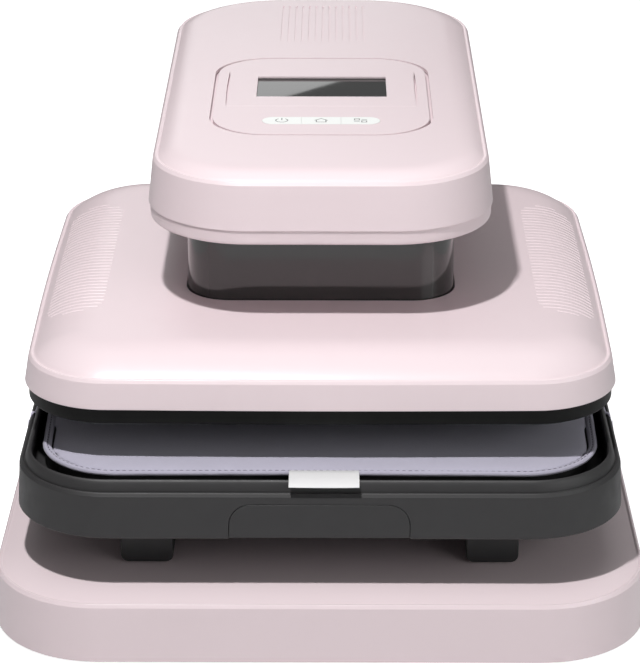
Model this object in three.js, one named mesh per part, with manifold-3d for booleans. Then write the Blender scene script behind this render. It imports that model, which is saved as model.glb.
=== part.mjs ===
// Automatic heat press. Millimetres, +Z up, +Y to the rear, X = 0 is the plane of symmetry.
// The origin is on the table under the middle of the base.

import * as THREE from 'three';
import { mergeVertices } from 'three/addons/utils/BufferGeometryUtils.js';
import Module from 'manifold-3d';

const wasm = await Module();
wasm.setup();

// Sizes shared by all pieces
const clearance = 0.3;
const slidingGap = 0.5;
const overrun = 1;
const shellWall = 2.5;
const wideSteps = 8;
const smallSteps = 4;
const roundSides = 16;
const matSteps = 6;
const plateSideSteps = 4;

// Base
const foot = { radius: 14, height: 6, edge: 2, fromSide: 45, fromEnd: 45 };
const base = {
  sideMargin: 17.5, frontMargin: 16, corner: 75, sideHeight: 41.2, crownRise: 3.8, crownRun: 30,
};
const baseFloor = { thickness: 2.5, gap: 0.5 };
const chassis = {
  sideMargin: 32, endMargin: 24, corner: 30, thickness: 3, hatWidth: 26, hatWall: 2, hatEndMargin: 30,
};

// Rear pillar and the steel inside it
const pillar = { width: 190, depth: 78, corner: 25, frontGap: 10, rearMargin: 35, wall: 3 };
const post = { width: 40, depth: 26, wall: 2.5, sideMargin: 35, holeGap: 1 };
const rearCover = { sideMargin: 29, endMargin: 5, thickness: 3, gap: 0.4 };
const rearVent = { count: 6, width: 76, height: 3, pitch: 9, fromTop: 34 };
const inlet = {
  width: 28, height: 22, depth: 22, flangeWidth: 36, flangeHeight: 28, flangeThickness: 2,
  recessWidth: 25, recessHeight: 17, recessDepth: 16, fromMiddle: 30, rise: 34,
};
const inletPin = { width: 2, height: 5, depth: 9, spread: 7, drop: 2, earthLift: 4 };
const rocker = {
  width: 12, height: 20, frameWall: 2.5, frameDepth: 16, fromMiddle: 24, tiltDegrees: 8, gap: 0.6, proud: 2.5,
};

// Tray that slides forward on telescopic rails
const tray = {
  sideMargin: 3.5, corner: 65, rideHeight: 37.5, sideHeight: 31.7, crownRise: 7,
  rimWidth: 10, rimRound: 0.8, recessDepth: 18.5, wall: 4, deck: 3, underLip: 1,
};
const trayFloor = { thickness: 2.5 };
const frontPanel = { width: 118.2, height: 24.1, corner: 14, thickness: 2, gap: 0.3 };
const runner = {
  width: 35, wall: 2.5, corner: 5, spacing: 232, frontSetback: 40, rearSetback: 24, lift: 1.2, slot: 15,
};
const fixedRail = {
  width: 26, wall: 2, height: 18, lip: 4, standWidth: 10, standHeight: 8.7, frontSetback: 5, rearMargin: 6,
};
const middleRail = { wall: 1.5, lip: 4 };
const innerRail = { stemWidth: 8 };

// Heat mat on the tray
const mat = {
  sideGap: 5.2, frontGap: 17, rearGap: 14, corner: 54, thickness: 16, drawIn: 1.2, seamInset: 3.8,
};
const tag = { width: 46, across: 3, thickness: 1.2, overhang: 12, tuck: 2, droop: 2.4 };
const strap = { width: 3, thickness: 1, fromMiddle: 76.5, skew: 26, hook: 5 };

// Heating plate and its cover
const plate = {
  size: 400, corner: 58, bow: 1.5, frontMargin: 40, rearMargin: 15,
  sideHeight: 20, crownRise: 14, crownRun: 50,
};
const platen = { margin: 9.5, corner: 49, opening: 24, thickness: 13.7, workThickness: 2.3 };
const skirt = { proud: 3, height: 10.7, edge: 1, inset: 2.5, platenGap: 0.5 };
const heater = { radius: 3, runs: 4, runSpacing: 80, reach: 130, turnSteps: 6, sides: 6 };
const cutout = { radius: 9, height: 5, along: 40 };
const insulation = { margin: 7.5, corner: 44, thickness: 6.5 };
const carrier = { margin: 33, corner: 30, thickness: 3 };

// Lifting column and drive
const column = { width: 186, depth: 170, corner: 30, wall: 2.5, overlap: 29, plateGap: 1, headGap: 1.5 };
const headArm = {
  sideGap: 15.5, thickness: 4, frontReach: 64, rearMargin: 12, flange: 14, corner: 12, topGap: 12,
};
const gearbox = { width: 40, length: 58, height: 22, corner: 4, shaftFromEnd: 16 };
const motor = { radius: 11, endGap: 2, capLength: 4 };
const coupler = { radius: 9, length: 14 };
const screw = { radius: 8, runout: 4 };
const nut = { radius: 13, flangeRadius: 20, flangeThickness: 5, length: 20, boreGap: 0.3 };
const bridge = { width: 60, rodMargin: 20, wall: 5, couplerGap: 9, footWidth: 12 };
const rod = {
  radius: 6, armMargin: 23, bushRadius: 10, bushLength: 24, bushFlange: 13, bushFlangeThickness: 2.5,
  boreGap: 0.3,
};

// Head with its controls
const head = {
  width: 235.4, frontReach: 136, coverGap: 58, corner: 70, lowerHeight: 10, lipInset: 1.4, seamInset: 0.8,
  sideHeight: 32.8, crownRise: 5.4, crownRun: 27,
};
const headVent = { count: 13, spacing: 5.3, width: 1.2, rearMargin: 40, length: 104, depth: 0.6 };
const bezel = {
  sideMargin: 38.7, setback: 90.5, length: 193, corner: 42, groove: 2, flange: 3, thickness: 4.4,
};
const slit = { margin: 11, setback: 68.9, length: 87.2, width: 1, depth: 1.4 };
const display = { width: 94.2, setback: 92.1, length: 50.9, glass: 1.4, sink: 1.8, margin: 2, moduleGap: 0.3 };
const key = {
  stripWidth: 83.5, length: 17, setback: 34, gap: 0.5, split: 0.5, proud: 0.2, height: 3.6, travel: 0.8,
};
const board = {
  width: 118, length: 132, setback: 18, thickness: 1.6, standRadius: 3, standHeight: 1.8, standMargin: 7,
};
const power = {
  width: 120, length: 90, front: 60, thickness: 1.6, partHeight: 18, stand: 4, standRadius: 4, standMargin: 9,
  partShare: 0.33, acrossShare: 0.2, rowShares: [0.75, 0.5, 0.25],
};
const edge = { draft: 1.6, beadWidth: 3.6, beadRise: 2.3 };

// Heights and places worked out from the sizes above
const baseBottom = foot.height;
const baseTop = baseBottom + base.sideHeight + base.crownRise;
const floorTop = baseBottom + baseFloor.thickness;
const chassisBottom = floorTop + clearance;
const chassisTop = chassisBottom + chassis.thickness;
const trayWidth = plate.size + 2 * tray.sideMargin;
const trayLength = plate.frontMargin + plate.size + plate.rearMargin;
const baseWidth = trayWidth + 2 * base.sideMargin;
const baseDepth = base.frontMargin + trayLength + pillar.frontGap + pillar.depth + pillar.rearMargin;
const halfDepth = baseDepth / 2;
const pillarBack = halfDepth - pillar.rearMargin;
const pillarMiddle = pillarBack - pillar.depth / 2;
const pillarBottom = baseTop + clearance;
const postSpacing = pillar.width - 2 * post.sideMargin;
const rearOpening = pillar.width - 2 * rearCover.sideMargin;
const trayBottom = baseTop + tray.rideHeight;
const trayRidge = trayBottom + tray.sideHeight;
const trayCrown = trayRidge + tray.crownRise;
const recessFloor = trayCrown - tray.recessDepth;
const trayFront = base.frontMargin - halfDepth;
const trayBack = trayFront + trayLength;
const trayMiddle = (trayFront + trayBack) / 2;
const matBottom = recessFloor + clearance;
const matTop = matBottom + mat.thickness;
const matWidth = trayWidth - 2 * (tray.rimWidth + mat.sideGap);
const matFront = trayFront + tray.rimWidth + mat.frontGap;
const matBack = trayBack - tray.rimWidth - mat.rearGap;
const matMiddle = (matFront + matBack) / 2;
const plateCentre = trayFront + plate.frontMargin + plate.size / 2;
const platenSize = plate.size - 2 * platen.margin;
const insulationSize = platenSize - 2 * insulation.margin;
const carrierSize = insulationSize - 2 * carrier.margin;
const headFront = plateCentre - head.frontReach;
const bezelFront = headFront + bezel.setback;
const bezelWidth = head.width - 2 * bezel.sideMargin;
const displayMiddle = bezelFront + display.setback + display.length / 2;
const keyMiddle = bezelFront + key.setback;
const armWidth = column.width - 2 * (column.wall + headArm.sideGap);
const rodSpacing = armWidth - 2 * rod.armMargin;
const platenBottom = matTop + platen.opening;
const platenTop = platenBottom + platen.thickness;
const liftTravel = platen.opening - platen.workThickness;
const skirtBottom = platenBottom + skirt.proud;
const plateSeam = skirtBottom + skirt.height + clearance;
const plateTop = plateSeam + plate.sideHeight + plate.crownRise;
const headBottom = plateTop + head.coverGap;
const pillarHeight = headBottom - clearance - pillarBottom;
const headSeam = headBottom + head.lowerHeight;
const headRidge = headSeam + clearance + head.sideHeight;
const headTop = headRidge + head.crownRise;
const armTop = headTop - headArm.topGap;
const armBottom = armTop - headArm.thickness;
const heaterTop = platenTop + clearance + 2 * heater.radius;
const insulationBottom = heaterTop + clearance;
const insulationTop = insulationBottom + insulation.thickness;
const carrierBottom = insulationTop + clearance;
const carrierTop = carrierBottom + carrier.thickness;
const columnBottom = carrierTop + clearance;
const columnTop = headBottom + column.overlap;
const bridgeBottom = carrierTop + clearance;
const gearboxBottom = armBottom - clearance - gearbox.height;
const couplerTop = gearboxBottom - clearance;
const couplerBottom = couplerTop - coupler.length;
const nutTop = couplerBottom - bridge.couplerGap;
const bridgeTop = nutTop - nut.flangeThickness - clearance;
const railMiddle = runner.spacing / 2;
const railFront = trayFront + runner.frontSetback + fixedRail.frontSetback;
const railBack = trayBack - runner.rearSetback - fixedRail.rearMargin;
const railBottom = baseTop + clearance;

// Colours and surfaces
function finish(color, roughness, metalness) {
  return new THREE.MeshStandardMaterial({ color, roughness, metalness });
}
const pinkGloss = finish(0xe8dadd, 0.38, 0);
const greyPlastic = finish(0x3c3c3c, 0.6, 0);
const blackPlastic = finish(0x1c1c1c, 0.5, 0);
const smokedGloss = finish(0x463c3a, 0.15, 0.1);
const whiteKey = finish(0xeef0ee, 0.45, 0);
const darkGlass = finish(0x626262, 0.1, 0);
const greenBoard = finish(0x1f5a3c, 0.6, 0);
const steel = finish(0x9a9da0, 0.4, 0.9);
const chrome = finish(0xc8ccd0, 0.15, 1);
const castAluminium = finish(0xa9abad, 0.5, 0.8);
const brass = finish(0xb08d4a, 0.35, 0.9);
const darkRubber = finish(0x2a2a2a, 0.9, 0);
const lavenderFelt = finish(0xa8a4b6, 0.95, 0);
const lavenderElastic = finish(0xc8c3d7, 0.9, 0);
const whiteTape = finish(0xe6e6e6, 0.8, 0);
const mineralWool = finish(0xd8d2c0, 1, 0);

// Solids: joins and cuts

function toSolid(geometry) {
  const bare = geometry.clone();
  bare.deleteAttribute('normal');
  bare.deleteAttribute('uv');
  const merged = mergeVertices(bare);
  return new wasm.Manifold(new wasm.Mesh({
    numProp: 3,
    vertProperties: new Float32Array(merged.attributes.position.array),
    triVerts: new Uint32Array(merged.index.array),
  }));
}

function toGeometry(solid) {
  const mesh = solid.getMesh();
  const geometry = new THREE.BufferGeometry();
  geometry.setAttribute('position', new THREE.BufferAttribute(new Float32Array(mesh.vertProperties), 3));
  geometry.setIndex(new THREE.BufferAttribute(new Uint32Array(mesh.triVerts), 1));
  geometry.computeVertexNormals();
  return geometry;
}

function cut(body, ...tools) {
  return toGeometry(tools.reduce((solid, tool) => solid.subtract(toSolid(tool)), toSolid(body)));
}

function join(body, ...others) {
  return toGeometry(others.reduce((solid, other) => solid.add(toSolid(other)), toSolid(body)));
}

// Rings and lofts

// Rounded rectangle, anticlockwise from above; a bow pushes the middle of each side outwards
function roundedRing({ halfX, halfY, corner, bow = 0, steps = wideSteps, sideSteps = 1 }, inset, height) {
  const x = halfX - inset;
  const y = halfY - inset;
  const radius = Math.max(corner - inset, corner / wideSteps);
  const ring = [];
  for (let quarter = 0; quarter < 4; quarter++) {
    const toward = (quarter + 1) * Math.PI / 2;
    const centreX = Math.sign(Math.cos(toward - Math.PI / 4)) * (x - radius);
    const centreY = Math.sign(Math.sin(toward - Math.PI / 4)) * (y - radius);
    for (let step = 0; step <= steps; step++) {
      const angle = (quarter + step / steps) * Math.PI / 2;
      const outward = new THREE.Vector3(Math.cos(angle), Math.sin(angle), 0);
      ring.push(new THREE.Vector3(centreX, centreY, height).addScaledVector(outward, radius));
    }
    const run = 2 * (quarter % 2 === 0 ? x - radius : y - radius);
    const start = ring[ring.length - 1].clone();
    const along = new THREE.Vector3(-Math.sin(toward), Math.cos(toward), 0);
    const outward = new THREE.Vector3(Math.cos(toward), Math.sin(toward), 0);
    for (let step = 1; step < sideSteps; step++) {
      const share = step / sideSteps;
      const push = bow * Math.sin(Math.PI * share);
      ring.push(start.clone().addScaledVector(along, run * share).addScaledVector(outward, push));
    }
  }
  return ring;
}

// Skin over a stack of rings with equal counts: capped at both ends, or joined end to end
function loft(rings, { looped = false } = {}) {
  const count = rings[0].length;
  const vertices = rings.flat();
  const faces = [];
  const bands = looped ? rings.length : rings.length - 1;
  for (let band = 0; band < bands; band++) {
    const low = band * count;
    const high = ((band + 1) % rings.length) * count;
    for (let i = 0; i < count; i++) {
      const next = (i + 1) % count;
      faces.push(low + i, low + next, high + next, low + i, high + next, high + i);
    }
  }
  if (!looped) {
    addCap(vertices, faces, 0, count, true);
    addCap(vertices, faces, (rings.length - 1) * count, count, false);
  }
  const geometry = new THREE.BufferGeometry().setFromPoints(vertices);
  geometry.setIndex(faces);
  geometry.computeVertexNormals();
  return geometry;
}

function addCap(vertices, faces, first, count, facingDown) {
  const centre = new THREE.Vector3();
  for (let i = 0; i < count; i++) centre.addScaledVector(vertices[first + i], 1 / count);
  const hub = vertices.push(centre) - 1;
  for (let i = 0; i < count; i++) {
    const here = first + i;
    const next = first + (i + 1) % count;
    if (facingDown) faces.push(hub, next, here);
    else faces.push(hub, here, next);
  }
}

// Upright block with rounded corners, from one height to another
function roundedBlock(width, depth, corner, bottom, top, steps = smallSteps) {
  const outline = { halfX: width / 2, halfY: depth / 2, corner, steps };
  return loft([roundedRing(outline, 0, bottom), roundedRing(outline, 0, top)]);
}

// Sheet shell, open below, that follows a list of [inset, height] levels from its rim to its top.
// Its inside is plain: it leaves out the bead and valley
function cappedShell(outline, levels, wall) {
  const plain = levels.filter((_, index) => index < 2 || index >= levels.length - 3);
  const inner = plain.map(([inset, height], index) => [inset + wall, index === 0 ? height : height - wall]);
  const profile = [...inner.reverse(), ...levels];
  return loft(profile.map(([inset, height]) => roundedRing(outline, inset, height)));
}

// Leaning side wall, ridge bead, valley and crown, the edge that all the covers share
const beadShares = [[0.47, 0], [0.67, 0], [1, -0.2]];
const crownShares = [[0.13, 0.24], [0.32, 0.54], [0.56, 0.81], [0.8, 0.96], [1, 1]];

function edgeLevels(bottom, sideHeight, crownRise, crownRun) {
  const ridge = bottom + sideHeight;
  const side = [[0, bottom], [edge.draft, ridge - edge.beadRise]];
  const bead = beadShares.map(([inset, rise]) => [
    edge.draft + inset * edge.beadWidth, ridge + rise * edge.beadRise,
  ]);
  const valley = edge.draft + edge.beadWidth;
  const crown = crownShares.map(([inset, rise]) => [
    valley + inset * (crownRun - valley), ridge + rise * crownRise,
  ]);
  return [...side, ...bead, ...crown];
}

function box(width, depth, height) {
  return new THREE.BoxGeometry(width, depth, height);
}

// Box given by its middle in X and Y and its underside
function boxAt(width, depth, height, x, y, bottom) {
  return box(width, depth, height).translate(x, y, bottom + height / 2);
}

function cylinder(radius, height, sides = roundSides) {
  return new THREE.CylinderGeometry(radius, radius, height, sides).rotateX(Math.PI / 2);
}

function cylinderAt(radius, height, x, y, bottom, sides = roundSides) {
  return cylinder(radius, height, sides).translate(x, y, bottom + height / 2);
}

// Outline in X and Z, extruded along Y from the front to the back
function alongDepth(points, front, back) {
  const shape = new THREE.Shape(points.map(([x, z]) => new THREE.Vector2(x, z)));
  const geometry = new THREE.ExtrudeGeometry(shape, { depth: back - front, bevelEnabled: false });
  return geometry.rotateX(Math.PI / 2).translate(0, back, 0);
}

// Outline in Y and Z, extruded along X about its middle
function alongWidth(points, width) {
  const shape = new THREE.Shape(points.map(([y, z]) => new THREE.Vector2(y, z)));
  const geometry = new THREE.ExtrudeGeometry(shape, { depth: width, bevelEnabled: false });
  return geometry.rotateX(Math.PI / 2).rotateZ(Math.PI / 2).translate(-width / 2, 0, 0);
}

// Profile of [radius, height] pairs turned about the upright axis
function turned(profile, sides = roundSides) {
  const points = profile.map(([radius, height]) => new THREE.Vector2(radius, height));
  return new THREE.LatheGeometry(points, sides).rotateX(Math.PI / 2);
}

const press = new THREE.Group();

function add(group, name, geometry, material, x = 0, y = 0, z = 0) {
  const mesh = new THREE.Mesh(geometry, material);
  mesh.name = name;
  mesh.position.set(x, y, z);
  group.add(mesh);
  return mesh;
}

const sides = [['left', -1], ['right', 1]];

// Base: shell, floor, feet and chassis

function postHoles(bottom, top) {
  return sides.map(([, side]) => boxAt(
    post.width + 2 * post.holeGap, post.depth + 2 * post.holeGap, top - bottom,
    side * postSpacing / 2, pillarMiddle, bottom,
  ));
}

function baseShell() {
  const outline = { halfX: baseWidth / 2, halfY: halfDepth, corner: base.corner };
  const levels = edgeLevels(baseBottom, base.sideHeight, base.crownRise, base.crownRun);
  const shell = cappedShell(outline, levels, shellWall);
  return cut(shell, ...postHoles(baseTop - shellWall - overrun, baseTop + overrun));
}

function chassisPlate() {
  const width = baseWidth - 2 * chassis.sideMargin;
  const depth = baseDepth - 2 * chassis.endMargin;
  const plateBlock = roundedBlock(width, depth, chassis.corner, chassisBottom, chassisTop);
  const hatTop = baseTop - shellWall - clearance;
  const hatHeight = hatTop - chassisTop;
  const hatDepth = railBack - railFront - 2 * chassis.hatEndMargin;
  const middle = (railFront + railBack) / 2;
  const hats = sides.map(([, side]) => {
    const x = side * railMiddle;
    const hat = boxAt(chassis.hatWidth, hatDepth, hatHeight + overrun, x, middle, chassisTop - overrun);
    const hollowWidth = chassis.hatWidth - 2 * chassis.hatWall;
    const hollowHeight = hatHeight - chassis.hatWall;
    const hollow = boxAt(hollowWidth, hatDepth + 2 * overrun, hollowHeight, x, middle, chassisTop);
    return cut(hat, hollow);
  });
  return join(plateBlock, ...hats);
}

function rubberFoot() {
  return turned([
    [0, 0], [foot.radius - foot.edge, 0], [foot.radius, foot.edge],
    [foot.radius, foot.height - clearance], [0, foot.height - clearance],
  ]);
}

function buildBase() {
  const group = new THREE.Group();
  add(group, 'base_shell', baseShell(), pinkGloss);
  const floorWidth = baseWidth - 2 * (shellWall + baseFloor.gap);
  const floorDepth = baseDepth - 2 * (shellWall + baseFloor.gap);
  const floorCorner = base.corner - shellWall - baseFloor.gap;
  const floor = roundedBlock(floorWidth, floorDepth, floorCorner, baseBottom, floorTop, wideSteps);
  add(group, 'base_floor', floor, greyPlastic);
  add(group, 'chassis_plate', chassisPlate(), steel);
  const ends = [['front', -1], ['rear', 1]];
  for (const [endName, end] of ends) {
    for (const [sideName, side] of sides) {
      const x = side * (baseWidth / 2 - foot.fromSide);
      const y = end * (halfDepth - foot.fromEnd);
      add(group, `foot_${endName}_${sideName}`, rubberFoot(), darkRubber, x, y, 0);
    }
  }
  return group;
}

// Power board, standing on the chassis between the two rail supports

function powerBoard() {
  const bottom = chassisTop + clearance;
  const boardBottom = bottom + power.stand;
  const sheet = boxAt(power.width, power.length, power.thickness, 0, power.length / 2, boardBottom);
  const legRows = [power.standMargin, power.length - power.standMargin];
  const legs = sides.flatMap(([, side]) => legRows.map((y) => {
    const x = side * (power.width / 2 - power.standMargin);
    return cylinderAt(power.standRadius, power.stand + power.thickness / 2, x, y, bottom, wideSteps);
  }));
  const partBottom = boardBottom + power.thickness / 2;
  const partSize = power.length * power.partShare;
  const across = power.width * power.acrossShare;
  const [relayRow, transformerRow, capacitorRow] = power.rowShares.map((share) => share * power.length);
  const transformer = boxAt(partSize, partSize, power.partHeight, -across, transformerRow, partBottom);
  const capacitor = cylinderAt(partSize / 4, power.partHeight, across, capacitorRow, partBottom, wideSteps);
  const relay = boxAt(partSize / 2, partSize / 2, power.partHeight / 2, across, relayRow, partBottom);
  return join(sheet, ...legs, transformer, capacitor, relay);
}

// Pillar: steel posts, shell, rear cover with its vents, inlet and switch

function steelPost() {
  const height = armBottom - clearance - chassisTop - clearance;
  const outer = boxAt(post.width, post.depth, height, 0, 0, 0);
  const inner = boxAt(
    post.width - 2 * post.wall, post.depth - 2 * post.wall, height + 2 * overrun, 0, 0, -overrun,
  );
  return cut(outer, inner);
}

function pillarShell() {
  const outline = { halfX: pillar.width / 2, halfY: pillar.depth / 2, corner: pillar.corner };
  const tube = loft([
    roundedRing(outline, 0, 0), roundedRing(outline, 0, pillarHeight),
    roundedRing(outline, pillar.wall, pillarHeight), roundedRing(outline, pillar.wall, 0),
  ], { looped: true });
  const opening = boxAt(
    rearOpening, pillar.wall + 2 * overrun, pillarHeight - 2 * rearCover.endMargin,
    0, pillar.depth / 2 - pillar.wall / 2, rearCover.endMargin,
  );
  return cut(tube, opening);
}

// The cover's own middle is at X = 0; heights count up from the pillar's foot
function pillarRearCover() {
  const bottom = rearCover.endMargin + rearCover.gap;
  const height = pillarHeight - 2 * bottom;
  const sheet = boxAt(rearOpening - 2 * rearCover.gap, rearCover.thickness, height, 0, 0, bottom);
  const slots = Array.from({ length: rearVent.count }, (_, index) => boxAt(
    rearVent.width, rearCover.thickness + 2 * overrun, rearVent.height,
    0, 0, bottom + height - rearVent.fromTop - index * rearVent.pitch,
  ));
  const inletHole = boxAt(
    inlet.width + 2 * clearance, rearCover.thickness + 2 * overrun, inlet.height + 2 * clearance,
    -inlet.fromMiddle, 0, inlet.rise - inlet.height / 2 - clearance,
  );
  const switchHole = boxAt(
    rocker.width + 2 * rocker.frameWall + 2 * clearance, rearCover.thickness + 2 * overrun,
    rocker.height + 2 * rocker.frameWall + 2 * clearance,
    rocker.fromMiddle, 0, inlet.rise - rocker.height / 2 - rocker.frameWall - clearance,
  );
  return cut(sheet, ...slots, inletHole, switchHole);
}

// Local Y = 0 is the cover's outer face
function mainsInlet() {
  const bodyFront = clearance + inlet.flangeThickness / 2;
  const bodyDepth = inlet.depth + bodyFront;
  const body = boxAt(inlet.width, bodyDepth, inlet.height, 0, bodyFront - bodyDepth / 2, -inlet.height / 2);
  const flange = boxAt(
    inlet.flangeWidth, inlet.flangeThickness, inlet.flangeHeight,
    0, clearance + inlet.flangeThickness / 2, -inlet.flangeHeight / 2,
  );
  const mouth = clearance + inlet.flangeThickness;
  const recess = boxAt(
    inlet.recessWidth, inlet.recessDepth + overrun, inlet.recessHeight,
    0, mouth + overrun / 2 - inlet.recessDepth / 2, -inlet.recessHeight / 2,
  );
  const pinMiddle = mouth - inlet.recessDepth + (inletPin.depth - overrun) / 2;
  const pinPlaces = [
    [-inletPin.spread, -inletPin.drop], [0, inletPin.earthLift], [inletPin.spread, -inletPin.drop],
  ];
  const pins = pinPlaces.map(([x, z]) => boxAt(
    inletPin.width, inletPin.depth + overrun, inletPin.height, x, pinMiddle, z - inletPin.height / 2,
  ));
  return join(cut(join(body, flange), recess), ...pins);
}

function switchFrame() {
  const width = rocker.width + 2 * rocker.frameWall;
  const height = rocker.height + 2 * rocker.frameWall;
  const tube = boxAt(width, rocker.frameDepth, height, 0, -rocker.frameDepth / 2, -height / 2);
  const flange = boxAt(
    width + 2 * rocker.frameWall, rocker.frameWall, height + 2 * rocker.frameWall,
    0, clearance + rocker.frameWall / 2, -height / 2 - rocker.frameWall,
  );
  const neck = boxAt(width, 2 * clearance, height, 0, clearance / 2, -height / 2);
  const pocketDepth = rocker.frameDepth - rocker.frameWall;
  const pocket = boxAt(
    rocker.width, pocketDepth + rocker.frameWall + clearance + overrun, rocker.height,
    0, (rocker.frameWall + clearance + overrun - pocketDepth) / 2, -rocker.height / 2,
  );
  return cut(join(tube, neck, flange), pocket);
}

// Rocker, tilted with its upper end in; it turns about an axis along X through its origin
function rockerButton() {
  const half = rocker.height / 2 - rocker.gap;
  const face = rocker.frameWall + clearance + rocker.proud;
  const tilt = THREE.MathUtils.degToRad(rocker.tiltDegrees);
  const points = [
    [-face, 0], [0, -half * Math.cos(tilt)], [face * Math.cos(tilt), -half + rocker.gap],
    [face - rocker.gap, 0], [face * Math.cos(tilt), half - rocker.gap], [0, half * Math.cos(tilt)],
  ];
  return alongWidth(points, rocker.width - 2 * rocker.gap).rotateX(tilt);
}

function buildElectronics() {
  const group = new THREE.Group();
  add(group, 'power_board', powerBoard(), greenBoard, 0, power.front, 0);
  return group;
}

function buildPillar() {
  const group = new THREE.Group();
  for (const [sideName, side] of sides) {
    const x = side * postSpacing / 2;
    add(group, `pillar_post_${sideName}`, steelPost(), steel, x, pillarMiddle, chassisTop + clearance);
  }
  add(group, 'pillar_shell', pillarShell(), pinkGloss, 0, pillarMiddle, pillarBottom);
  const coverMiddle = pillarBack - rearCover.thickness / 2;
  add(group, 'pillar_rear_cover', pillarRearCover(), pinkGloss, 0, coverMiddle, pillarBottom);
  const fittings = pillarBottom + inlet.rise;
  add(group, 'mains_inlet', mainsInlet(), blackPlastic, -inlet.fromMiddle, pillarBack, fittings);
  add(group, 'switch_frame', switchFrame(), blackPlastic, rocker.fromMiddle, pillarBack, fittings);
  add(group, 'power_rocker', rockerButton(), blackPlastic, rocker.fromMiddle, pillarBack, fittings);
  return group;
}

// Head: lower shell, upper shell, arm

const headMiddle = (headFront + halfDepth) / 2;
const headOutline = { halfX: head.width / 2, halfY: (halfDepth - headFront) / 2, corner: head.corner };

function columnHole(gap, bottom, top) {
  return roundedBlock(
    column.width + 2 * gap, column.depth + 2 * gap, column.corner + gap, bottom, top, wideSteps,
  );
}

function headLowerShell() {
  const rise = head.lowerHeight;
  const span = head.lipInset - head.seamInset;
  const flareShares = [[1, 0], [0.5, 0.1], [0.18, 0.32], [0, 1]];
  const outer = flareShares.map(([across, up]) => [head.seamInset + across * span, up * rise]);
  const inner = outer.map(([inset, height], index) => [
    inset + shellWall, index === outer.length - 1 ? height : height + shellWall,
  ]);
  const profile = [...outer, ...inner.reverse()];
  const tub = loft(profile.map(([inset, height]) => roundedRing(headOutline, inset, height)));
  const bottom = -overrun;
  const top = shellWall + overrun;
  const mouth = columnHole(column.headGap, bottom, top).translate(0, plateCentre - headMiddle, 0);
  const postCuts = postHoles(bottom, top).map((hole) => hole.translate(0, -headMiddle, 0));
  return cut(tub, mouth, ...postCuts);
}

function bezelBlock(grow, bottom, top) {
  const width = bezelWidth + 2 * grow;
  const length = bezel.length + 2 * grow;
  const block = roundedBlock(width, length, bezel.corner + grow, bottom, top, wideSteps);
  return block.translate(0, bezelFront + bezel.length / 2, 0);
}

function headUpperShell() {
  const levels = edgeLevels(headSeam + clearance, head.sideHeight, head.crownRise, head.crownRun);
  const shell = cappedShell(headOutline, levels, shellWall).translate(0, headMiddle, 0);
  const ventMiddle = halfDepth - headVent.rearMargin - headVent.length / 2;
  const vents = Array.from({ length: headVent.count }, (_, index) => boxAt(
    headVent.width, headVent.length, headVent.depth + overrun,
    (index - (headVent.count - 1) / 2) * headVent.spacing, ventMiddle, headTop - headVent.depth,
  ));
  return cut(shell, bezelBlock(0, headTop - shellWall - overrun, headTop + overrun), ...vents);
}

function headArmPlate() {
  const back = pillarBack - headArm.rearMargin + head.seamInset;
  const front = plateCentre - headArm.frontReach;
  const sheet = roundedBlock(armWidth, back - front, headArm.corner, armBottom, armTop);
  sheet.translate(0, (front + back) / 2, 0);
  const columnBack = plateCentre + column.depth / 2;
  const flangeFront = columnBack + headArm.corner;
  const flangeBack = pillarMiddle - post.depth / 2 - headArm.corner;
  const flanges = sides.map(([, side]) => boxAt(
    headArm.thickness, flangeBack - flangeFront, headArm.flange + headArm.thickness / 2,
    side * (armWidth / 2 - headArm.corner), (flangeFront + flangeBack) / 2, armBottom - headArm.flange,
  ));
  return join(sheet, ...flanges);
}

function buildHead() {
  const group = new THREE.Group();
  add(group, 'head_lower_shell', headLowerShell(), pinkGloss, 0, headMiddle, headBottom);
  add(group, 'head_upper_shell', headUpperShell(), pinkGloss);
  add(group, 'head_arm', headArmPlate(), steel);
  return group;
}

// Controls on the head: bezel, display, keys and their board

const bezelBottom = headTop - bezel.thickness;
const glassTop = headTop - display.sink;
const glassBottom = glassTop - display.glass;
const keyPitch = key.stripWidth / 3;

function keyStrip(grow, bottom, top) {
  const strip = roundedBlock(
    key.stripWidth + 2 * grow, key.length + 2 * grow, key.length / 2 + grow, bottom, top, wideSteps,
  );
  return strip.translate(0, keyMiddle, 0);
}

function controlBezel() {
  const flangeTop = headTop - shellWall - clearance;
  const skin = bezelBlock(-bezel.groove, (flangeTop + bezelBottom) / 2, headTop);
  const flange = bezelBlock(bezel.flange, bezelBottom, flangeTop);
  const under = bezelBottom - overrun;
  const window = boxAt(display.width, display.length, bezel.thickness + 2 * overrun, 0, displayMiddle, under);
  const pocket = boxAt(
    display.width + 2 * display.margin + 2 * clearance, display.length + 2 * display.margin + 2 * clearance,
    glassTop + clearance - under, 0, displayMiddle, under,
  );
  const slitMiddle = bezelFront + slit.setback + slit.length / 2;
  const slitAcross = bezelWidth / 2 - slit.margin;
  const slits = sides.map(([, side]) => boxAt(
    slit.width, slit.length, slit.depth + overrun, side * slitAcross, slitMiddle, headTop - slit.depth,
  ));
  return cut(join(skin, flange), window, pocket, keyStrip(0, under, headTop + overrun), ...slits);
}

// One third of the pill-shaped strip; the outer two have round ends
function keyCap(index) {
  const bottom = headTop + key.proud - key.height;
  const strip = keyStrip(-key.gap, bottom, headTop + key.proud);
  const middle = (index - 1) * keyPitch;
  const reach = keyPitch - key.split;
  const slice = boxAt(
    reach, key.length + 2 * overrun, key.height + 2 * overrun, middle, keyMiddle, bottom - overrun,
  );
  return toGeometry(toSolid(strip).intersect(toSolid(slice)));
}

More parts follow.
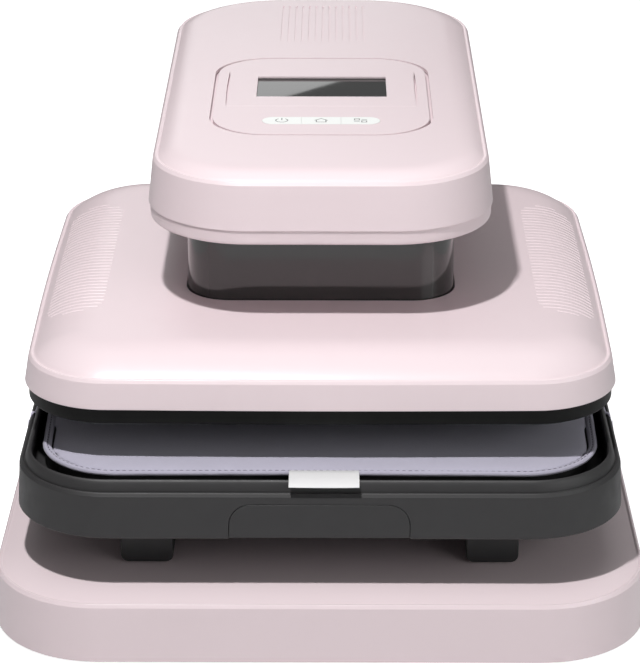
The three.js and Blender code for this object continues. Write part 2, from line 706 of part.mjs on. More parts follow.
function controlBoard() {
  const bottom = armTop + clearance;
  const sheetBottom = bottom + board.standHeight;
  const middle = bezelFront + board.setback + board.length / 2;
  const sheet = boxAt(board.width, board.length, board.thickness, 0, middle, sheetBottom);
  const legs = sides.flatMap(([, side]) => [-1, 1].map((end) => {
    const x = side * (board.width / 2 - board.standMargin);
    const y = middle + end * (board.length / 2 - board.standMargin);
    return cylinderAt(board.standRadius, board.standHeight + board.thickness / 2, x, y, bottom, wideSteps);
  }));
  const keyBottom = headTop + key.proud - key.height;
  const switchTop = keyBottom - key.travel - clearance;
  const switches = [-1, 0, 1].map((place) => boxAt(
    key.length / 3, key.length / 3, switchTop - sheetBottom - board.thickness / 2,
    place * keyPitch, keyMiddle, sheetBottom + board.thickness / 2,
  ));
  return join(sheet, ...legs, ...switches);
}

function buildControls() {
  const group = new THREE.Group();
  add(group, 'control_bezel', controlBezel(), pinkGloss);
  const glass = box(display.width + 2 * display.margin, display.length + 2 * display.margin, display.glass);
  add(group, 'display_window', glass, darkGlass, 0, displayMiddle, glassBottom + display.glass / 2);
  const moduleBottom = armTop + clearance + board.standHeight + board.thickness + clearance;
  const moduleHeight = glassBottom - display.moduleGap - moduleBottom;
  const module = box(display.width, display.length, moduleHeight);
  add(group, 'display_module', module, blackPlastic, 0, displayMiddle, moduleBottom + moduleHeight / 2);
  add(group, 'control_board', controlBoard(), greenBoard);
  const keyNames = ['key_power', 'key_home', 'key_mode'];
  keyNames.forEach((name, index) => add(group, name, keyCap(index), whiteKey));
  return group;
}

// Tray: shell, floor plate, flush front panel, runner housings and slides

const trayOutline = { halfX: trayWidth / 2, halfY: trayLength / 2, corner: tray.corner };

// Turned back like the wall, which leans inwards as it rises
function leaned(geometry) {
  const lean = edge.draft / (tray.sideHeight - edge.beadRise - tray.underLip);
  const place = geometry.attributes.position;
  for (let i = 0; i < place.count; i++) {
    place.setY(i, place.getY(i) + lean * (place.getZ(i) - trayBottom - tray.underLip));
  }
  return geometry;
}

function panelPocket(grow, depth) {
  const width = frontPanel.width + 2 * grow;
  const top = frontPanel.height + grow;
  const corner = frontPanel.corner + grow;
  const points = [[-width / 2, -overrun], [width / 2, -overrun]];
  for (let quarter = 0; quarter < 2; quarter++) {
    const centreX = (quarter === 0 ? 1 : -1) * (width / 2 - corner);
    for (let step = 0; step <= smallSteps; step++) {
      const angle = (quarter + step / smallSteps) * Math.PI / 2;
      points.push([centreX + corner * Math.cos(angle), top - corner + corner * Math.sin(angle)]);
    }
  }
  return leaned(alongDepth(points, trayFront - overrun, trayFront + depth).translate(0, 0, trayBottom));
}

function trayShell() {
  const crownRun = tray.rimWidth - tray.rimRound;
  const outside = edgeLevels(trayBottom, tray.sideHeight, tray.crownRise, crownRun).slice(1);
  const levels = [
    [tray.wall, recessFloor - tray.deck], [tray.wall, trayBottom], [tray.underLip, trayBottom],
    [0, trayBottom + tray.underLip], ...outside, [tray.rimWidth, trayCrown - tray.rimRound],
    [tray.rimWidth, recessFloor],
  ];
  const tub = loft(levels.map(([inset, height]) => roundedRing(trayOutline, inset, height)));
  tub.translate(0, trayMiddle, 0);
  return cut(tub, panelPocket(frontPanel.gap, frontPanel.thickness + frontPanel.gap));
}

function trayFrontPanel() {
  const slab = panelPocket(0, frontPanel.thickness);
  const below = boxAt(
    frontPanel.width + 2 * overrun, frontPanel.thickness + 3 * overrun, 2 * overrun, 0,
    trayFront + (frontPanel.thickness - overrun) / 2, trayBottom - 2 * overrun,
  );
  const ahead = leaned(boxAt(
    frontPanel.width + 2 * overrun, 2 * overrun, frontPanel.height + 3 * overrun, 0, trayFront - overrun,
    trayBottom - 2 * overrun,
  ));
  return cut(slab, below, ahead);
}

// Housing open below and behind, closed in front, with rounded lower corners
function runnerHousing() {
  const half = runner.width / 2;
  const height = trayBottom - clearance - baseTop - runner.lift;
  const outlinePoints = (grow, foot, top) => {
    const corner = runner.corner - grow;
    const points = [[half - grow, top], [grow - half, top]];
    for (let quarter = 2; quarter < 4; quarter++) {
      const centreX = (quarter === 2 ? -1 : 1) * (half - runner.corner);
      for (let step = 0; step <= smallSteps; step++) {
        const angle = (quarter + step / smallSteps) * Math.PI / 2;
        points.push([centreX + corner * Math.cos(angle), foot + runner.corner + corner * Math.sin(angle)]);
      }
    }
    return points;
  };
  const front = trayFront + runner.frontSetback;
  const back = trayBack - runner.rearSetback;
  const outer = alongDepth(outlinePoints(0, 0, height), front, back);
  const innerPoints = outlinePoints(runner.wall, 0, height + overrun);
  const inner = alongDepth(innerPoints, front + runner.wall, back + overrun);
  const slotMiddle = (front + back) / 2 + runner.wall + overrun;
  const slot = boxAt(runner.slot, back - front, 2 * runner.wall, 0, slotMiddle, -runner.wall);
  return cut(outer, inner, slot);
}

// Channel with inward lips along its top, opening upwards
function lippedChannel(width, height, wall, lip, front, back) {
  const half = width / 2;
  return alongDepth([
    [-half, 0], [half, 0], [half, height], [half - wall - lip, height], [half - wall - lip, height - wall],
    [half - wall, height - wall], [half - wall, wall], [wall - half, wall], [wall - half, height - wall],
    [wall + lip - half, height - wall], [wall + lip - half, height], [-half, height],
  ], front, back);
}

function fixedRailSolid() {
  const channel = lippedChannel(
    fixedRail.width, fixedRail.height, fixedRail.wall, fixedRail.lip, railFront, railBack,
  ).translate(0, 0, fixedRail.standHeight);
  const stand = boxAt(
    fixedRail.standWidth, railBack - railFront, fixedRail.standHeight + fixedRail.wall / 2,
    0, (railFront + railBack) / 2, 0,
  );
  return join(channel, stand);
}

const middleRailWidth = fixedRail.width - 2 * fixedRail.wall - 2 * slidingGap;
const middleRailHeight = fixedRail.height - 2 * fixedRail.wall - 2 * slidingGap;
const middleRailBottom = railBottom + fixedRail.standHeight + fixedRail.wall + slidingGap;
const innerRailBottom = middleRailBottom + middleRail.wall + slidingGap;

function innerRailSolid() {
  const half = middleRailWidth / 2 - middleRail.wall - slidingGap;
  const height = middleRailHeight - 2 * middleRail.wall - 2 * slidingGap;
  const stem = innerRail.stemWidth / 2;
  const top = trayBottom - clearance - innerRailBottom;
  return alongDepth([
    [-half, 0], [half, 0], [half, height], [stem, height],
    [stem, top], [-stem, top], [-stem, height], [-half, height],
  ], railFront, railBack);
}

function buildTray() {
  const group = new THREE.Group();
  add(group, 'tray_shell', trayShell(), greyPlastic);
  const inset = tray.wall + clearance;
  const plateWidth = trayWidth - 2 * inset;
  const plateDepth = trayLength - 2 * inset;
  const floor = roundedBlock(plateWidth, plateDepth, tray.corner - inset, 0, trayFloor.thickness, wideSteps);
  add(group, 'tray_floor_plate', floor, greyPlastic, 0, trayMiddle, trayBottom);
  add(group, 'tray_front_panel', trayFrontPanel(), greyPlastic);
  for (const [sideName, side] of sides) {
    const x = side * railMiddle;
    add(group, `runner_housing_${sideName}`, runnerHousing(), blackPlastic, x, 0, baseTop + runner.lift);
    add(group, `fixed_rail_${sideName}`, fixedRailSolid(), steel, x, 0, railBottom);
    const middle = lippedChannel(
      middleRailWidth, middleRailHeight, middleRail.wall, middleRail.lip, railFront, railBack,
    );
    add(group, `middle_rail_${sideName}`, middle, steel, x, 0, middleRailBottom);
    add(group, `inner_rail_${sideName}`, innerRailSolid(), steel, x, 0, innerRailBottom);
  }
  return group;
}

// Heat mat: crowned pad that overhangs its narrower base, with a sewn channel near its edge, its tag and its straps

function heatMat() {
  const outline = {
    halfX: matWidth / 2, halfY: (matBack - matFront) / 2, corner: mat.corner, bow: -mat.drawIn,
    steps: matSteps, sideSteps: matSteps - 1,
  };
  const padShares = [
    [2, 0], [2, 0.52], [0.5, 0.64], [0.06, 0.74], [0, 0.82], [0.22, 0.91], [0.6, 0.95], [0.88, 0.945],
    [1, 0.92], [1.14, 0.945], [2.4, 0.97], [9, 0.99], [22, 1],
  ];
  return loft(padShares.map(
    ([across, rise]) => roundedRing(outline, across * mat.seamInset, rise * mat.thickness),
  ));
}

// Folded tape that hangs from the seam over the tray's rim
function matTag() {
  const rimTop = trayCrown + clearance;
  const rimMiddle = trayFront + tray.rimWidth / 2;
  const line = [
    [matFront - tag.tuck, Math.min(matTop - tag.thickness, rimTop)], [trayFront + tray.rimWidth, rimTop],
    [rimMiddle, rimTop], [rimMiddle - tag.overhang / 2, rimTop - tag.droop / 2],
  ];
  const upper = line.map(([y, z]) => [y, z + tag.thickness]).reverse();
  return alongWidth([...line, ...upper].reverse(), tag.width);
}

// Elastic band from the mat's side over the rim, down the wall and round its lower edge.
// Each point of its inner line is followed by the way that its outer line lies from it
function matStrap(side, end) {
  const inner = matWidth / 2 + clearance;
  const wallFace = trayWidth / 2 + clearance;
  const lower = trayBottom - clearance;
  const rimShares = [[1, 1, 0, 1], [0.8, 1, 0.3, 1], [0.3, 0.08, 1, 1]];
  const overRim = rimShares.map(([across, rise, towardX, towardZ]) => [
    trayWidth / 2 - across * tray.rimWidth, trayRidge + rise * tray.crownRise + clearance, towardX, towardZ,
  ]);
  const line = [
    [inner, matTop - mat.thickness / 4, 0, 1], ...overRim, [wallFace, trayRidge, 1, 0],
    [wallFace, lower, 1, -1], [wallFace - strap.hook, lower, 0, -1],
  ];
  const near = line.map(([x, z]) => [x, z]);
  const far = line.map(([x, z, towardX, towardZ]) => [
    x + towardX * strap.thickness, z + towardZ * strap.thickness,
  ]);
  const band = alongDepth([...far, ...near.reverse()], -strap.width / 2, strap.width / 2);
  const place = band.attributes.position;
  for (let i = 0; i < place.count; i++) {
    const share = Math.min(Math.max((place.getX(i) - inner) / (wallFace - inner), 0), 1);
    place.setY(i, place.getY(i) + share * strap.skew);
  }
  band.scale(side, end, 1);
  return side * end > 0 ? band : flipped(band);
}

// A mirrored shape has its faces turned back outwards
function flipped(geometry) {
  const bare = geometry.index ? geometry.toNonIndexed() : geometry;
  const place = bare.attributes.position.array;
  for (let i = 0; i < place.length; i += 9) {
    for (let axis = 0; axis < 3; axis++) {
      [place[i + 3 + axis], place[i + 6 + axis]] = [place[i + 6 + axis], place[i + 3 + axis]];
    }
  }
  bare.computeVertexNormals();
  return bare;
}

function buildMat() {
  const group = new THREE.Group();
  add(group, 'heat_mat', heatMat(), lavenderFelt, 0, matMiddle, matBottom);
  add(group, 'mat_tag', matTag(), whiteTape, tag.across, 0, 0);
  const ends = [['front', -1], ['rear', 1]];
  for (const [endName, end] of ends) {
    for (const [sideName, side] of sides) {
      const y = matMiddle + end * strap.fromMiddle;
      add(group, `mat_strap_${endName}_${sideName}`, matStrap(side, end), lavenderElastic, 0, y, 0);
    }
  }
  return group;
}

// Heating plate: platen, element, cut-out, insulation, carrier, skirt and cover

const plateOutline = {
  halfX: plate.size / 2, halfY: plate.size / 2, corner: plate.corner, bow: plate.bow,
  sideSteps: plateSideSteps,
};

function plateCover() {
  const levels = edgeLevels(plateSeam, plate.sideHeight, plate.crownRise, plate.crownRun);
  return cut(
    cappedShell(plateOutline, levels, shellWall),
    columnHole(column.plateGap, plateTop - plate.crownRise, plateTop + overrun),
  );
}

function plateSkirt() {
  const top = skirtBottom + skirt.height;
  const innerHalf = platenSize / 2 + skirt.platenGap;
  const innerInset = plate.size / 2 - innerHalf;
  const levels = [
    [skirt.inset + skirt.edge, skirtBottom], [skirt.inset, skirtBottom + skirt.edge], [skirt.inset, top],
  ];
  const outer = levels.map(([inset, height]) => roundedRing(plateOutline, inset, height));
  const straight = { ...plateOutline, bow: 0 };
  const inner = [top, skirtBottom].map((height) => roundedRing(straight, innerInset, height));
  return loft([...outer, ...inner], { looped: true });
}

// Tube bent to and fro over the platen
function heatingElement() {
  const points = [];
  const turnRadius = heater.runSpacing / 2;
  for (let run = 0; run < heater.runs; run++) {
    const x = (run - (heater.runs - 1) / 2) * heater.runSpacing;
    const forward = run % 2 === 0 ? 1 : -1;
    points.push(new THREE.Vector3(x, -forward * heater.reach, 0));
    if (run === heater.runs - 1) {
      points.push(new THREE.Vector3(x, forward * heater.reach, 0));
      continue;
    }
    for (let step = 0; step < heater.turnSteps; step++) {
      const angle = Math.PI * step / heater.turnSteps;
      points.push(new THREE.Vector3(
        x + turnRadius - turnRadius * Math.cos(angle),
        forward * (heater.reach + turnRadius * Math.sin(angle)), 0,
      ));
    }
  }
  const path = new THREE.CurvePath();
  for (let i = 1; i < points.length; i++) path.add(new THREE.LineCurve3(points[i - 1], points[i]));
  const section = new THREE.Shape();
  for (let i = 0; i < heater.sides; i++) {
    const angle = 2 * Math.PI * i / heater.sides;
    const x = heater.radius * Math.cos(angle);
    const y = heater.radius * Math.sin(angle);
    if (i === 0) section.moveTo(x, y);
    else section.lineTo(x, y);
  }
  return new THREE.ExtrudeGeometry(section, {
    extrudePath: path, steps: heater.runs * 2 * heater.turnSteps, bevelEnabled: false,
  });
}

function buildPlate() {
  const group = new THREE.Group();
  group.position.y = plateCentre;
  add(group, 'plate_cover', plateCover(), pinkGloss);
  add(group, 'plate_skirt', plateSkirt(), blackPlastic);
  const platenSolid = roundedBlock(platenSize, platenSize, platen.corner, 0, platen.thickness, wideSteps);
  add(group, 'platen', platenSolid, castAluminium, 0, 0, platenBottom);
  add(group, 'heating_element', heatingElement(), steel, 0, 0, platenTop + clearance + heater.radius);
  const cutoutSolid = cylinder(cutout.radius, cutout.height);
  const cutoutHeight = platenTop + clearance + cutout.height / 2;
  add(group, 'thermal_cutout', cutoutSolid, blackPlastic, 0, cutout.along, cutoutHeight);
  const pad = roundedBlock(insulationSize, insulationSize, insulation.corner, 0, insulation.thickness);
  add(group, 'insulation_pad', pad, mineralWool, 0, 0, insulationBottom);
  const sheet = roundedBlock(carrierSize, carrierSize, carrier.corner, 0, carrier.thickness);
  add(group, 'carrier_plate', sheet, steel, 0, 0, carrierBottom);
  return group;
}

// Lift: column cover, bridge, nut and bushes move; gearbox, motor and guide rods stay

function columnCover() {
  const outline = { halfX: column.width / 2, halfY: column.depth / 2, corner: column.corner };
  return loft([
    roundedRing(outline, 0, columnBottom), roundedRing(outline, 0, columnTop),
    roundedRing(outline, column.wall, columnTop), roundedRing(outline, column.wall, columnBottom),
  ], { looped: true });
}

function liftBridge() {
  const half = rodSpacing / 2 + bridge.rodMargin;
  const top = bridgeTop - bridgeBottom;
  const points = [
    [-half - bridge.footWidth, 0], [bridge.wall - half, 0], [bridge.wall - half, top - bridge.wall],
    [half - bridge.wall, top - bridge.wall], [half - bridge.wall, 0], [half + bridge.footWidth, 0],
    [half + bridge.footWidth, bridge.wall], [half, bridge.wall], [half, top],
    [-half, top], [-half, bridge.wall],
    [-half - bridge.footWidth, bridge.wall],
  ];
  const frame = alongDepth(points, -bridge.width / 2, bridge.width / 2);
  const drillBottom = top - bridge.wall - overrun;
  const drill = (radius, x) => cylinderAt(radius, bridge.wall + 2 * overrun, x, 0, drillBottom);
  return cut(
    frame, drill(nut.radius + clearance, 0), drill(rod.bushRadius + clearance, -rodSpacing / 2),
    drill(rod.bushRadius + clearance, rodSpacing / 2),
  );
}

// Flanged sleeve whose flange rests on the bridge; its origin is the flange's underside
function flangedSleeve(bore, radius, flangeRadius, flangeThickness, length) {
  const below = flangeThickness - length;
  return turned([
    [bore, below], [radius, below], [radius, 0], [flangeRadius, 0], [flangeRadius, flangeThickness],
    [bore, flangeThickness], [bore, below],
  ]);
}

function buildLift() {
  const group = new THREE.Group();
  group.position.y = plateCentre;
  add(group, 'column_cover', columnCover(), smokedGloss);
  add(group, 'lift_bridge', liftBridge(), castAluminium, 0, 0, bridgeBottom);
  const seat = bridgeTop + clearance;
  const liftNut = flangedSleeve(
    screw.radius + nut.boreGap, nut.radius, nut.flangeRadius, nut.flangeThickness, nut.length,
  );
  add(group, 'lift_nut', liftNut, brass, 0, 0, seat);
  const gearboxTop = gearboxBottom + gearbox.height;
  const gearboxMiddle = gearbox.length / 2 - gearbox.shaftFromEnd;
  const casing = roundedBlock(gearbox.width, gearbox.length, gearbox.corner, gearboxBottom, gearboxTop);
  add(group, 'worm_gearbox', casing, castAluminium, 0, gearboxMiddle, 0);
  const motorFront = gearbox.length - gearbox.shaftFromEnd + clearance;
  const motorBack = column.depth / 2 - column.wall - motor.endGap - motor.capLength;
  const motorLength = motorBack - motorFront;
  const cap = cylinderAt(motor.radius / 2, motor.capLength + overrun, 0, 0, motorLength / 2 - overrun);
  const can = join(cylinder(motor.radius, motorLength), cap).rotateX(-Math.PI / 2);
  const motorHeight = armBottom - clearance - motor.radius;
  add(group, 'lift_motor', can, steel, 0, motorFront + motorLength / 2, motorHeight);
  const couplerMiddle = couplerTop - coupler.length / 2;
  add(group, 'shaft_coupler', cylinder(coupler.radius, coupler.length), steel, 0, 0, couplerMiddle);
  const screwBottom = nutTop - nut.length - liftTravel - screw.runout;
  const screwTop = couplerBottom - clearance;
  const screwLength = screwTop - screwBottom;
  const screwMiddle = screwBottom + screwLength / 2;
  add(group, 'lead_screw', cylinder(screw.radius, screwLength), chrome, 0, 0, screwMiddle);
  const rodBottom = bridgeTop + rod.boreGap - rod.bushLength - liftTravel;
  const rodLength = armBottom - clearance - rodBottom;
  for (const [sideName, side] of sides) {
    const x = side * rodSpacing / 2;
    const rodMiddle = rodBottom + rodLength / 2;
    add(group, `guide_rod_${sideName}`, cylinder(rod.radius, rodLength), chrome, x, 0, rodMiddle);
    const bush = flangedSleeve(
      rod.radius + rod.boreGap, rod.bushRadius, rod.bushFlange, rod.bushFlangeThickness, rod.bushLength,
    );
    add(group, `bridge_bush_${sideName}`, bush, brass, x, 0, seat);
  }
  return group;
}

press.add(buildBase());
press.add(buildElectronics());
press.add(buildPillar());
press.add(buildHead());
press.add(buildControls());
press.add(buildTray());
press.add(buildMat());
press.add(buildPlate());
press.add(buildLift());

export default press;
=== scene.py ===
"""Automatic heat press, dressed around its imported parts. Metres, +Z up, the front towards -Y."""

import math
from collections import namedtuple

import bmesh
import bpy
import numpy as np
from bpy.props import FloatProperty, FloatVectorProperty, IntProperty, PointerProperty
from bpy.types import Operator, Panel, PropertyGroup
from mathutils import Matrix, Vector, noise


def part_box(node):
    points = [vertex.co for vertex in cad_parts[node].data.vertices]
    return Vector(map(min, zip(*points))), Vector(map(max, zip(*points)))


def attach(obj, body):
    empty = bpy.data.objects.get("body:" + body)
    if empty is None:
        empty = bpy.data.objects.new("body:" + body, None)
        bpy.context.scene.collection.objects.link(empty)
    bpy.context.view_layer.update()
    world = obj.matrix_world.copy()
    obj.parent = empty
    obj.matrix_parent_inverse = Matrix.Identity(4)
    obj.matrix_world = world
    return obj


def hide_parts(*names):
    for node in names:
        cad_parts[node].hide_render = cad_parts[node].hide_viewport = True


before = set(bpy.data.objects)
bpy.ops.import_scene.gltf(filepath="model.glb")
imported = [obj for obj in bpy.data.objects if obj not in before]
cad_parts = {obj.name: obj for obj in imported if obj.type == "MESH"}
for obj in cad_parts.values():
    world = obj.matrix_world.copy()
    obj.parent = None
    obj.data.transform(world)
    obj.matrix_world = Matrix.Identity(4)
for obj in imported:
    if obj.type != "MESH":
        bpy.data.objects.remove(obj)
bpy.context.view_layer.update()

bl_info = {
    "name": "Heat press",
    "version": (1, 0, 0),
    "blender": (4, 5, 0),
    "location": "View3D > Sidebar > Heat press",
    "description": "Dresses the parts of an automatic heat press",
    "category": "Object",
}

# Sizes and colours that a user would change


def length(name, description, default):
    return FloatProperty(
        name=name, description=description, default=default, min=0, precision=5, unit="LENGTH"
    )


def whole(name, description, default):
    return IntProperty(name=name, description=description, default=default, min=1)


def angle(name, description, degrees):
    return FloatProperty(
        name=name, description=description, default=math.radians(degrees), subtype="ANGLE"
    )


def coordinate(name, description, default):
    return FloatProperty(name=name, description=description, default=default, unit="LENGTH")


def amount(name, description, default):
    return FloatProperty(name=name, description=description, default=default)


def linear(value):
    share = value / 255
    return share / 12.92 if share <= 0.04045 else ((share + 0.055) / 1.055) ** 2.4


def colour(name, description, *values):
    return FloatVectorProperty(
        name=name, description=description, subtype="COLOR", min=0, max=1,
        default=tuple(linear(value) for value in values),
    )


class CoverSizes(PropertyGroup):
    wall: length("Wall", "Thickness of the moulded covers", 0.0025)
    draft: length("Draft", "How far a cover's wall leans inwards", 0.0016)
    bead: length("Bead", "Width of the bead along each cover's ridge", 0.0036)
    bead_rise: length("Bead height", "Height of the bevel that leads up to the bead", 0.0023)
    soft_edge: length("Soft edge", "Rounding of a moulded edge", 0.0005)
    base_corner: length("Base corner", "Corner radius of the base", 0.075)
    base_rise: length("Base crown", "Rise of the base's top above its ridge", 0.0038)
    base_run: length("Base crown run", "Width of the curved band of the base's top", 0.030)
    pillar_corner: length("Pillar corner", "Corner radius of the pillar", 0.025)
    column_corner: length("Column corner", "Corner radius of the lifting column", 0.030)


class HeadSizes(PropertyGroup):
    corner: length("Corner", "Corner radius of the head's front", 0.070)
    rear_corner: length("Rear corner", "Corner radius of the head's rear", 0.088)
    draft: length("Draft", "How far the head's wall leans inwards", 0.0034)
    foot: length("Foot", "How far the head's wall stands out at its foot", 0.0009)
    crown_power: amount("Crown curve", "How late the top falls away", 2.8)
    rise: length("Crown", "Rise of the head's top above its ridge", 0.0054)
    run: length("Crown run", "Width of the curved band of the head's top", 0.027)
    lip: length("Lower lip", "How far the head draws in at its lower lip", 0.0014)
    seam: length("Seam step", "How far the lower shell stands back at the seam", 0.0008)
    column_gap: length("Column gap", "Gap round the lifting column", 0.0015)
    vent_count: whole("Grooves", "Grooves in the rear of the head's top", 13)
    vent_pitch: length("Groove pitch", "Distance between the grooves", 0.0053)
    vent_width: length("Groove width", "Width of one groove", 0.0013)
    vent_length: length("Groove length", "Length of one groove", 0.104)
    vent_depth: length("Groove depth", "Depth of one groove", 0.0008)
    vent_margin: length("Groove margin", "From the head's rear end to the grooves", 0.040)


class PanelSizes(PropertyGroup):
    corner: length("Corner", "Corner radius of the panel's opening", 0.042)
    flange: length("Flange", "How far the panel reaches under the head's top", 0.003)
    flange_thickness: length("Flange thickness", "Thickness of the panel's flange", 0.001)
    groove: length("Groove", "Gap between the panel and the head's top", 0.0024)
    margin: length("Window margin", "How far the glass reaches under the panel", 0.002)
    inlay_width: length("Inlay width", "Width of the raised field round the window", 0.1350)
    inlay_length: length("Inlay length", "Length of the raised field", 0.0872)
    inlay_middle: length("Inlay place", "From the panel's front edge to the field's middle", 0.1125)
    slit: length("Slit", "Greatest width of the slits beside the field", 0.0018)
    slit_depth: length("Slit depth", "Depth of the slits", 0.0026)
    key_edge: length("Key edge", "Rounding of the keys' edges", 0.00015)
    key_grow: length("Key growth", "How much closer the keys stand than their solids", 0.0002)
    icon: length("Icon", "Size of the icon on a key", 0.0084)
    stroke: length("Icon line", "Width of an icon's lines", 0.0008)
    print_thickness: length("Print", "Thickness of the printed icons", 0.00008)


class PlateSizes(PropertyGroup):
    corner: length("Corner", "Corner radius of the plate's cover in front", 0.059)
    rear_corner: length("Rear corner", "Corner radius of the plate's cover behind", 0.068)
    draft: length("Draft", "How far the plate's wall leans inwards", 0.0030)
    crown_power: amount("Crown curve", "How late the top falls away", 2.7)
    bow: length("Bow", "How far the middle of each side swells", 0.0015)
    rise: length("Crown", "Rise of the cover's top above its ridge", 0.014)
    run: length("Crown run", "Width of the curved band of the cover's top", 0.050)
    column_gap: length("Column gap", "Gap round the lifting column", 0.001)
    rib_count: whole("Ribs", "Ribs on each side of the cover", 37)
    rib_pitch: length("Rib pitch", "Distance between the ribs", 0.0061)
    rib_length: length("Rib length", "Length of the longest ribs", 0.039)
    rib_radius: length("Rib radius", "Radius of a rib's round top", 0.00085)
    rib_proud: length("Rib height", "How far a rib stands proud", 0.00035)
    rib_across: length("Rib place", "From the middle of the cover to the ribs' middle", 0.1696)
    rib_front: length("Rib field", "From the ribs' middle forward to the cover's middle", 0.0057)
    rib_corner: length("Rib field corner", "Length of the field's rounded corners", 0.019)
    rib_draw: length("Rib field draw", "How far the field draws in at its ends", 0.012)


class TraySizes(PropertyGroup):
    corner: length("Corner", "Corner radius of the tray", 0.065)
    rim: length("Rim", "Width of the rim", 0.010)
    rim_round: length("Rim edge", "Rounding of the rim's inner edge", 0.0008)
    rise: length("Rim rise", "Rise of the rim above its ridge", 0.007)
    recess: length("Recess", "Depth of the recess for the mat", 0.0185)
    deck: length("Deck", "Thickness of the recess floor", 0.003)
    wall: length("Wall", "Thickness of the tray's wall", 0.004)
    lip: length("Lower edge", "Bevel along the tray's lower edge", 0.001)
    panel_corner: length("Panel corner", "Corner radius of the front panel", 0.014)
    panel_gap: length("Panel gap", "Gap round the front panel", 0.0004)
    panel_thickness: length("Panel thickness", "Thickness of the front panel", 0.002)
    panel_edge: length("Panel edge", "Rounding of the front panel's edges", 0.0004)
    edge: length("Edge", "Rounding of the tray's other edges", 0.00035)
    runner_corner: length("Runner corner", "Radius of a runner's lower corners", 0.005)
    runner_slot: length("Runner slot", "Width of the slot under a runner", 0.015)


class MatSizes(PropertyGroup):
    corner: length("Corner", "Corner radius of the mat", 0.054)
    bow: length("Bow", "How far the sides swell between the corners", 0.0030)
    strap_width: length("Strap width", "Width of the elastic straps", 0.0032)
    strap_thickness: length("Strap thickness", "Thickness of the elastic straps", 0.0006)
    draw_in: length("Drawn-in ends", "How far the front and rear pull in between the corners", 0.0010)
    seam: length("Seam inset", "From the mat's edge to its seam", 0.0038)
    # The dark base under the felt is partly painted shade, for the deep shade under the mat's rolled
    # edge
    base_and_shade_inset: length("Base inset", "How far the dark base stands back under the felt", 0.0076)
    puff: length("Most swelling", "The most that the pad swells", 0.0012)
    voxel: length("Mesh size", "Grid of the padding simulation", 0.0045)
    wave: length("Unevenness", "Height of the soft unevenness of the pad", 0.00035)
    stitch_pitch: length("Stitch pitch", "Distance between stitches", 0.0042)
    stitch_length: length("Stitch length", "Length of one stitch", 0.0027)
    stitch_width: length("Thread", "Thickness of the thread", 0.0007)
    tape: length("Tape thickness", "Thickness of the folded tape", 0.0003)


class Colours(PropertyGroup):
    pink: colour("Pink", "Moulded covers", 230, 213, 217)
    grey: colour("Grey", "Tray", 47, 46, 47)
    black: colour("Black", "Skirt of the plate", 16, 16, 16)
    runner: colour("Runner", "Runners of the tray", 40, 40, 41)
    smoked: colour("Smoked", "Lifting column", 47, 47, 46)
    key: colour("Key", "Key caps", 240, 242, 240)
    icon: colour("Icon", "Icons on the keys", 132, 132, 132)
    glass: colour("Glass", "Display window", 50, 50, 50)
    felt: colour("Felt", "Mat", 178, 174, 190)
    thread: colour("Thread", "Stitches of the mat", 108, 102, 116)
    elastic: colour("Elastic", "Straps of the mat", 205, 200, 219)
    tape: colour("Tape", "Folded tape on the mat", 222, 221, 222)
    floor: colour("Floor", "Studio floor", 225, 225, 226)


class Studio(PropertyGroup):
    camera_x: coordinate("Camera X", "Place of the camera along X", 0.00897)
    camera_y: coordinate("Camera Y", "Place of the camera along Y", -1.88531)
    camera_z: coordinate("Camera Z", "Place of the camera along Z", 0.87565)
    camera_down: angle("Camera down", "How far the camera looks down", 21.764)
    camera_turn: angle("Camera turn", "How far the camera turns to the left", 0.306)
    lens: FloatProperty(name="Lens", description="Focal length", default=147.87, unit="CAMERA")
    key_light: amount("Key light", "Power of the key light", 85.0)
    key_x: coordinate("Key X", "Place of the key light along X", -0.238)
    key_y: coordinate("Key Y", "Place of the key light along Y", -0.72)
    key_z: coordinate("Key Z", "Place of the key light along Z", 1.60)
    key_size: length("Key size", "Radius of the key light", 0.036)
    overhead_light: amount("Overhead", "Power of the light above", 2.5)
    front_light: amount("Front fill", "Power of the light in front", 13.0)
    sky_light: amount("Sky light", "Strength of the even light", 0.17)
    floor_glow: amount("Floor glow", "How far the floor is lifted to white", 1.0)


class HeatPress(PropertyGroup):
    covers: PointerProperty(type=CoverSizes, name="Covers")
    head: PointerProperty(type=HeadSizes, name="Head")
    panel: PointerProperty(type=PanelSizes, name="Control panel")
    plate: PointerProperty(type=PlateSizes, name="Heating plate")
    tray: PointerProperty(type=TraySizes, name="Tray")
    mat: PointerProperty(type=MatSizes, name="Mat")
    colours: PointerProperty(type=Colours, name="Colours")
    studio: PointerProperty(type=Studio, name="Studio")


# Meshes

MM = 0.001
CORNER_STEPS = 22
SIDE_STEPS = 14
SAME_POINT = 1e-6
# How far a cutting tool stands past what it cuts
OVERRUN = 1 * MM
# Share of the mat's thickness at which its seam runs
SEAM_SHARE = 0.905
SIDES = (("left", -1), ("right", 1))
ENDS = (("front", -1), ("rear", 1))
Outline = namedtuple("Outline", "half_x half_y corner bow rear end_bow", defaults=(0.0, None, None))


def new_object(name, points, faces, edges=()):
    mesh = bpy.data.meshes.new(name)
    mesh.from_pydata([tuple(p) for p in points], list(edges), [tuple(f) for f in faces])
    mesh.validate()
    obj = bpy.data.objects.new(name, mesh)
    bpy.context.scene.collection.objects.link(obj)
    return obj


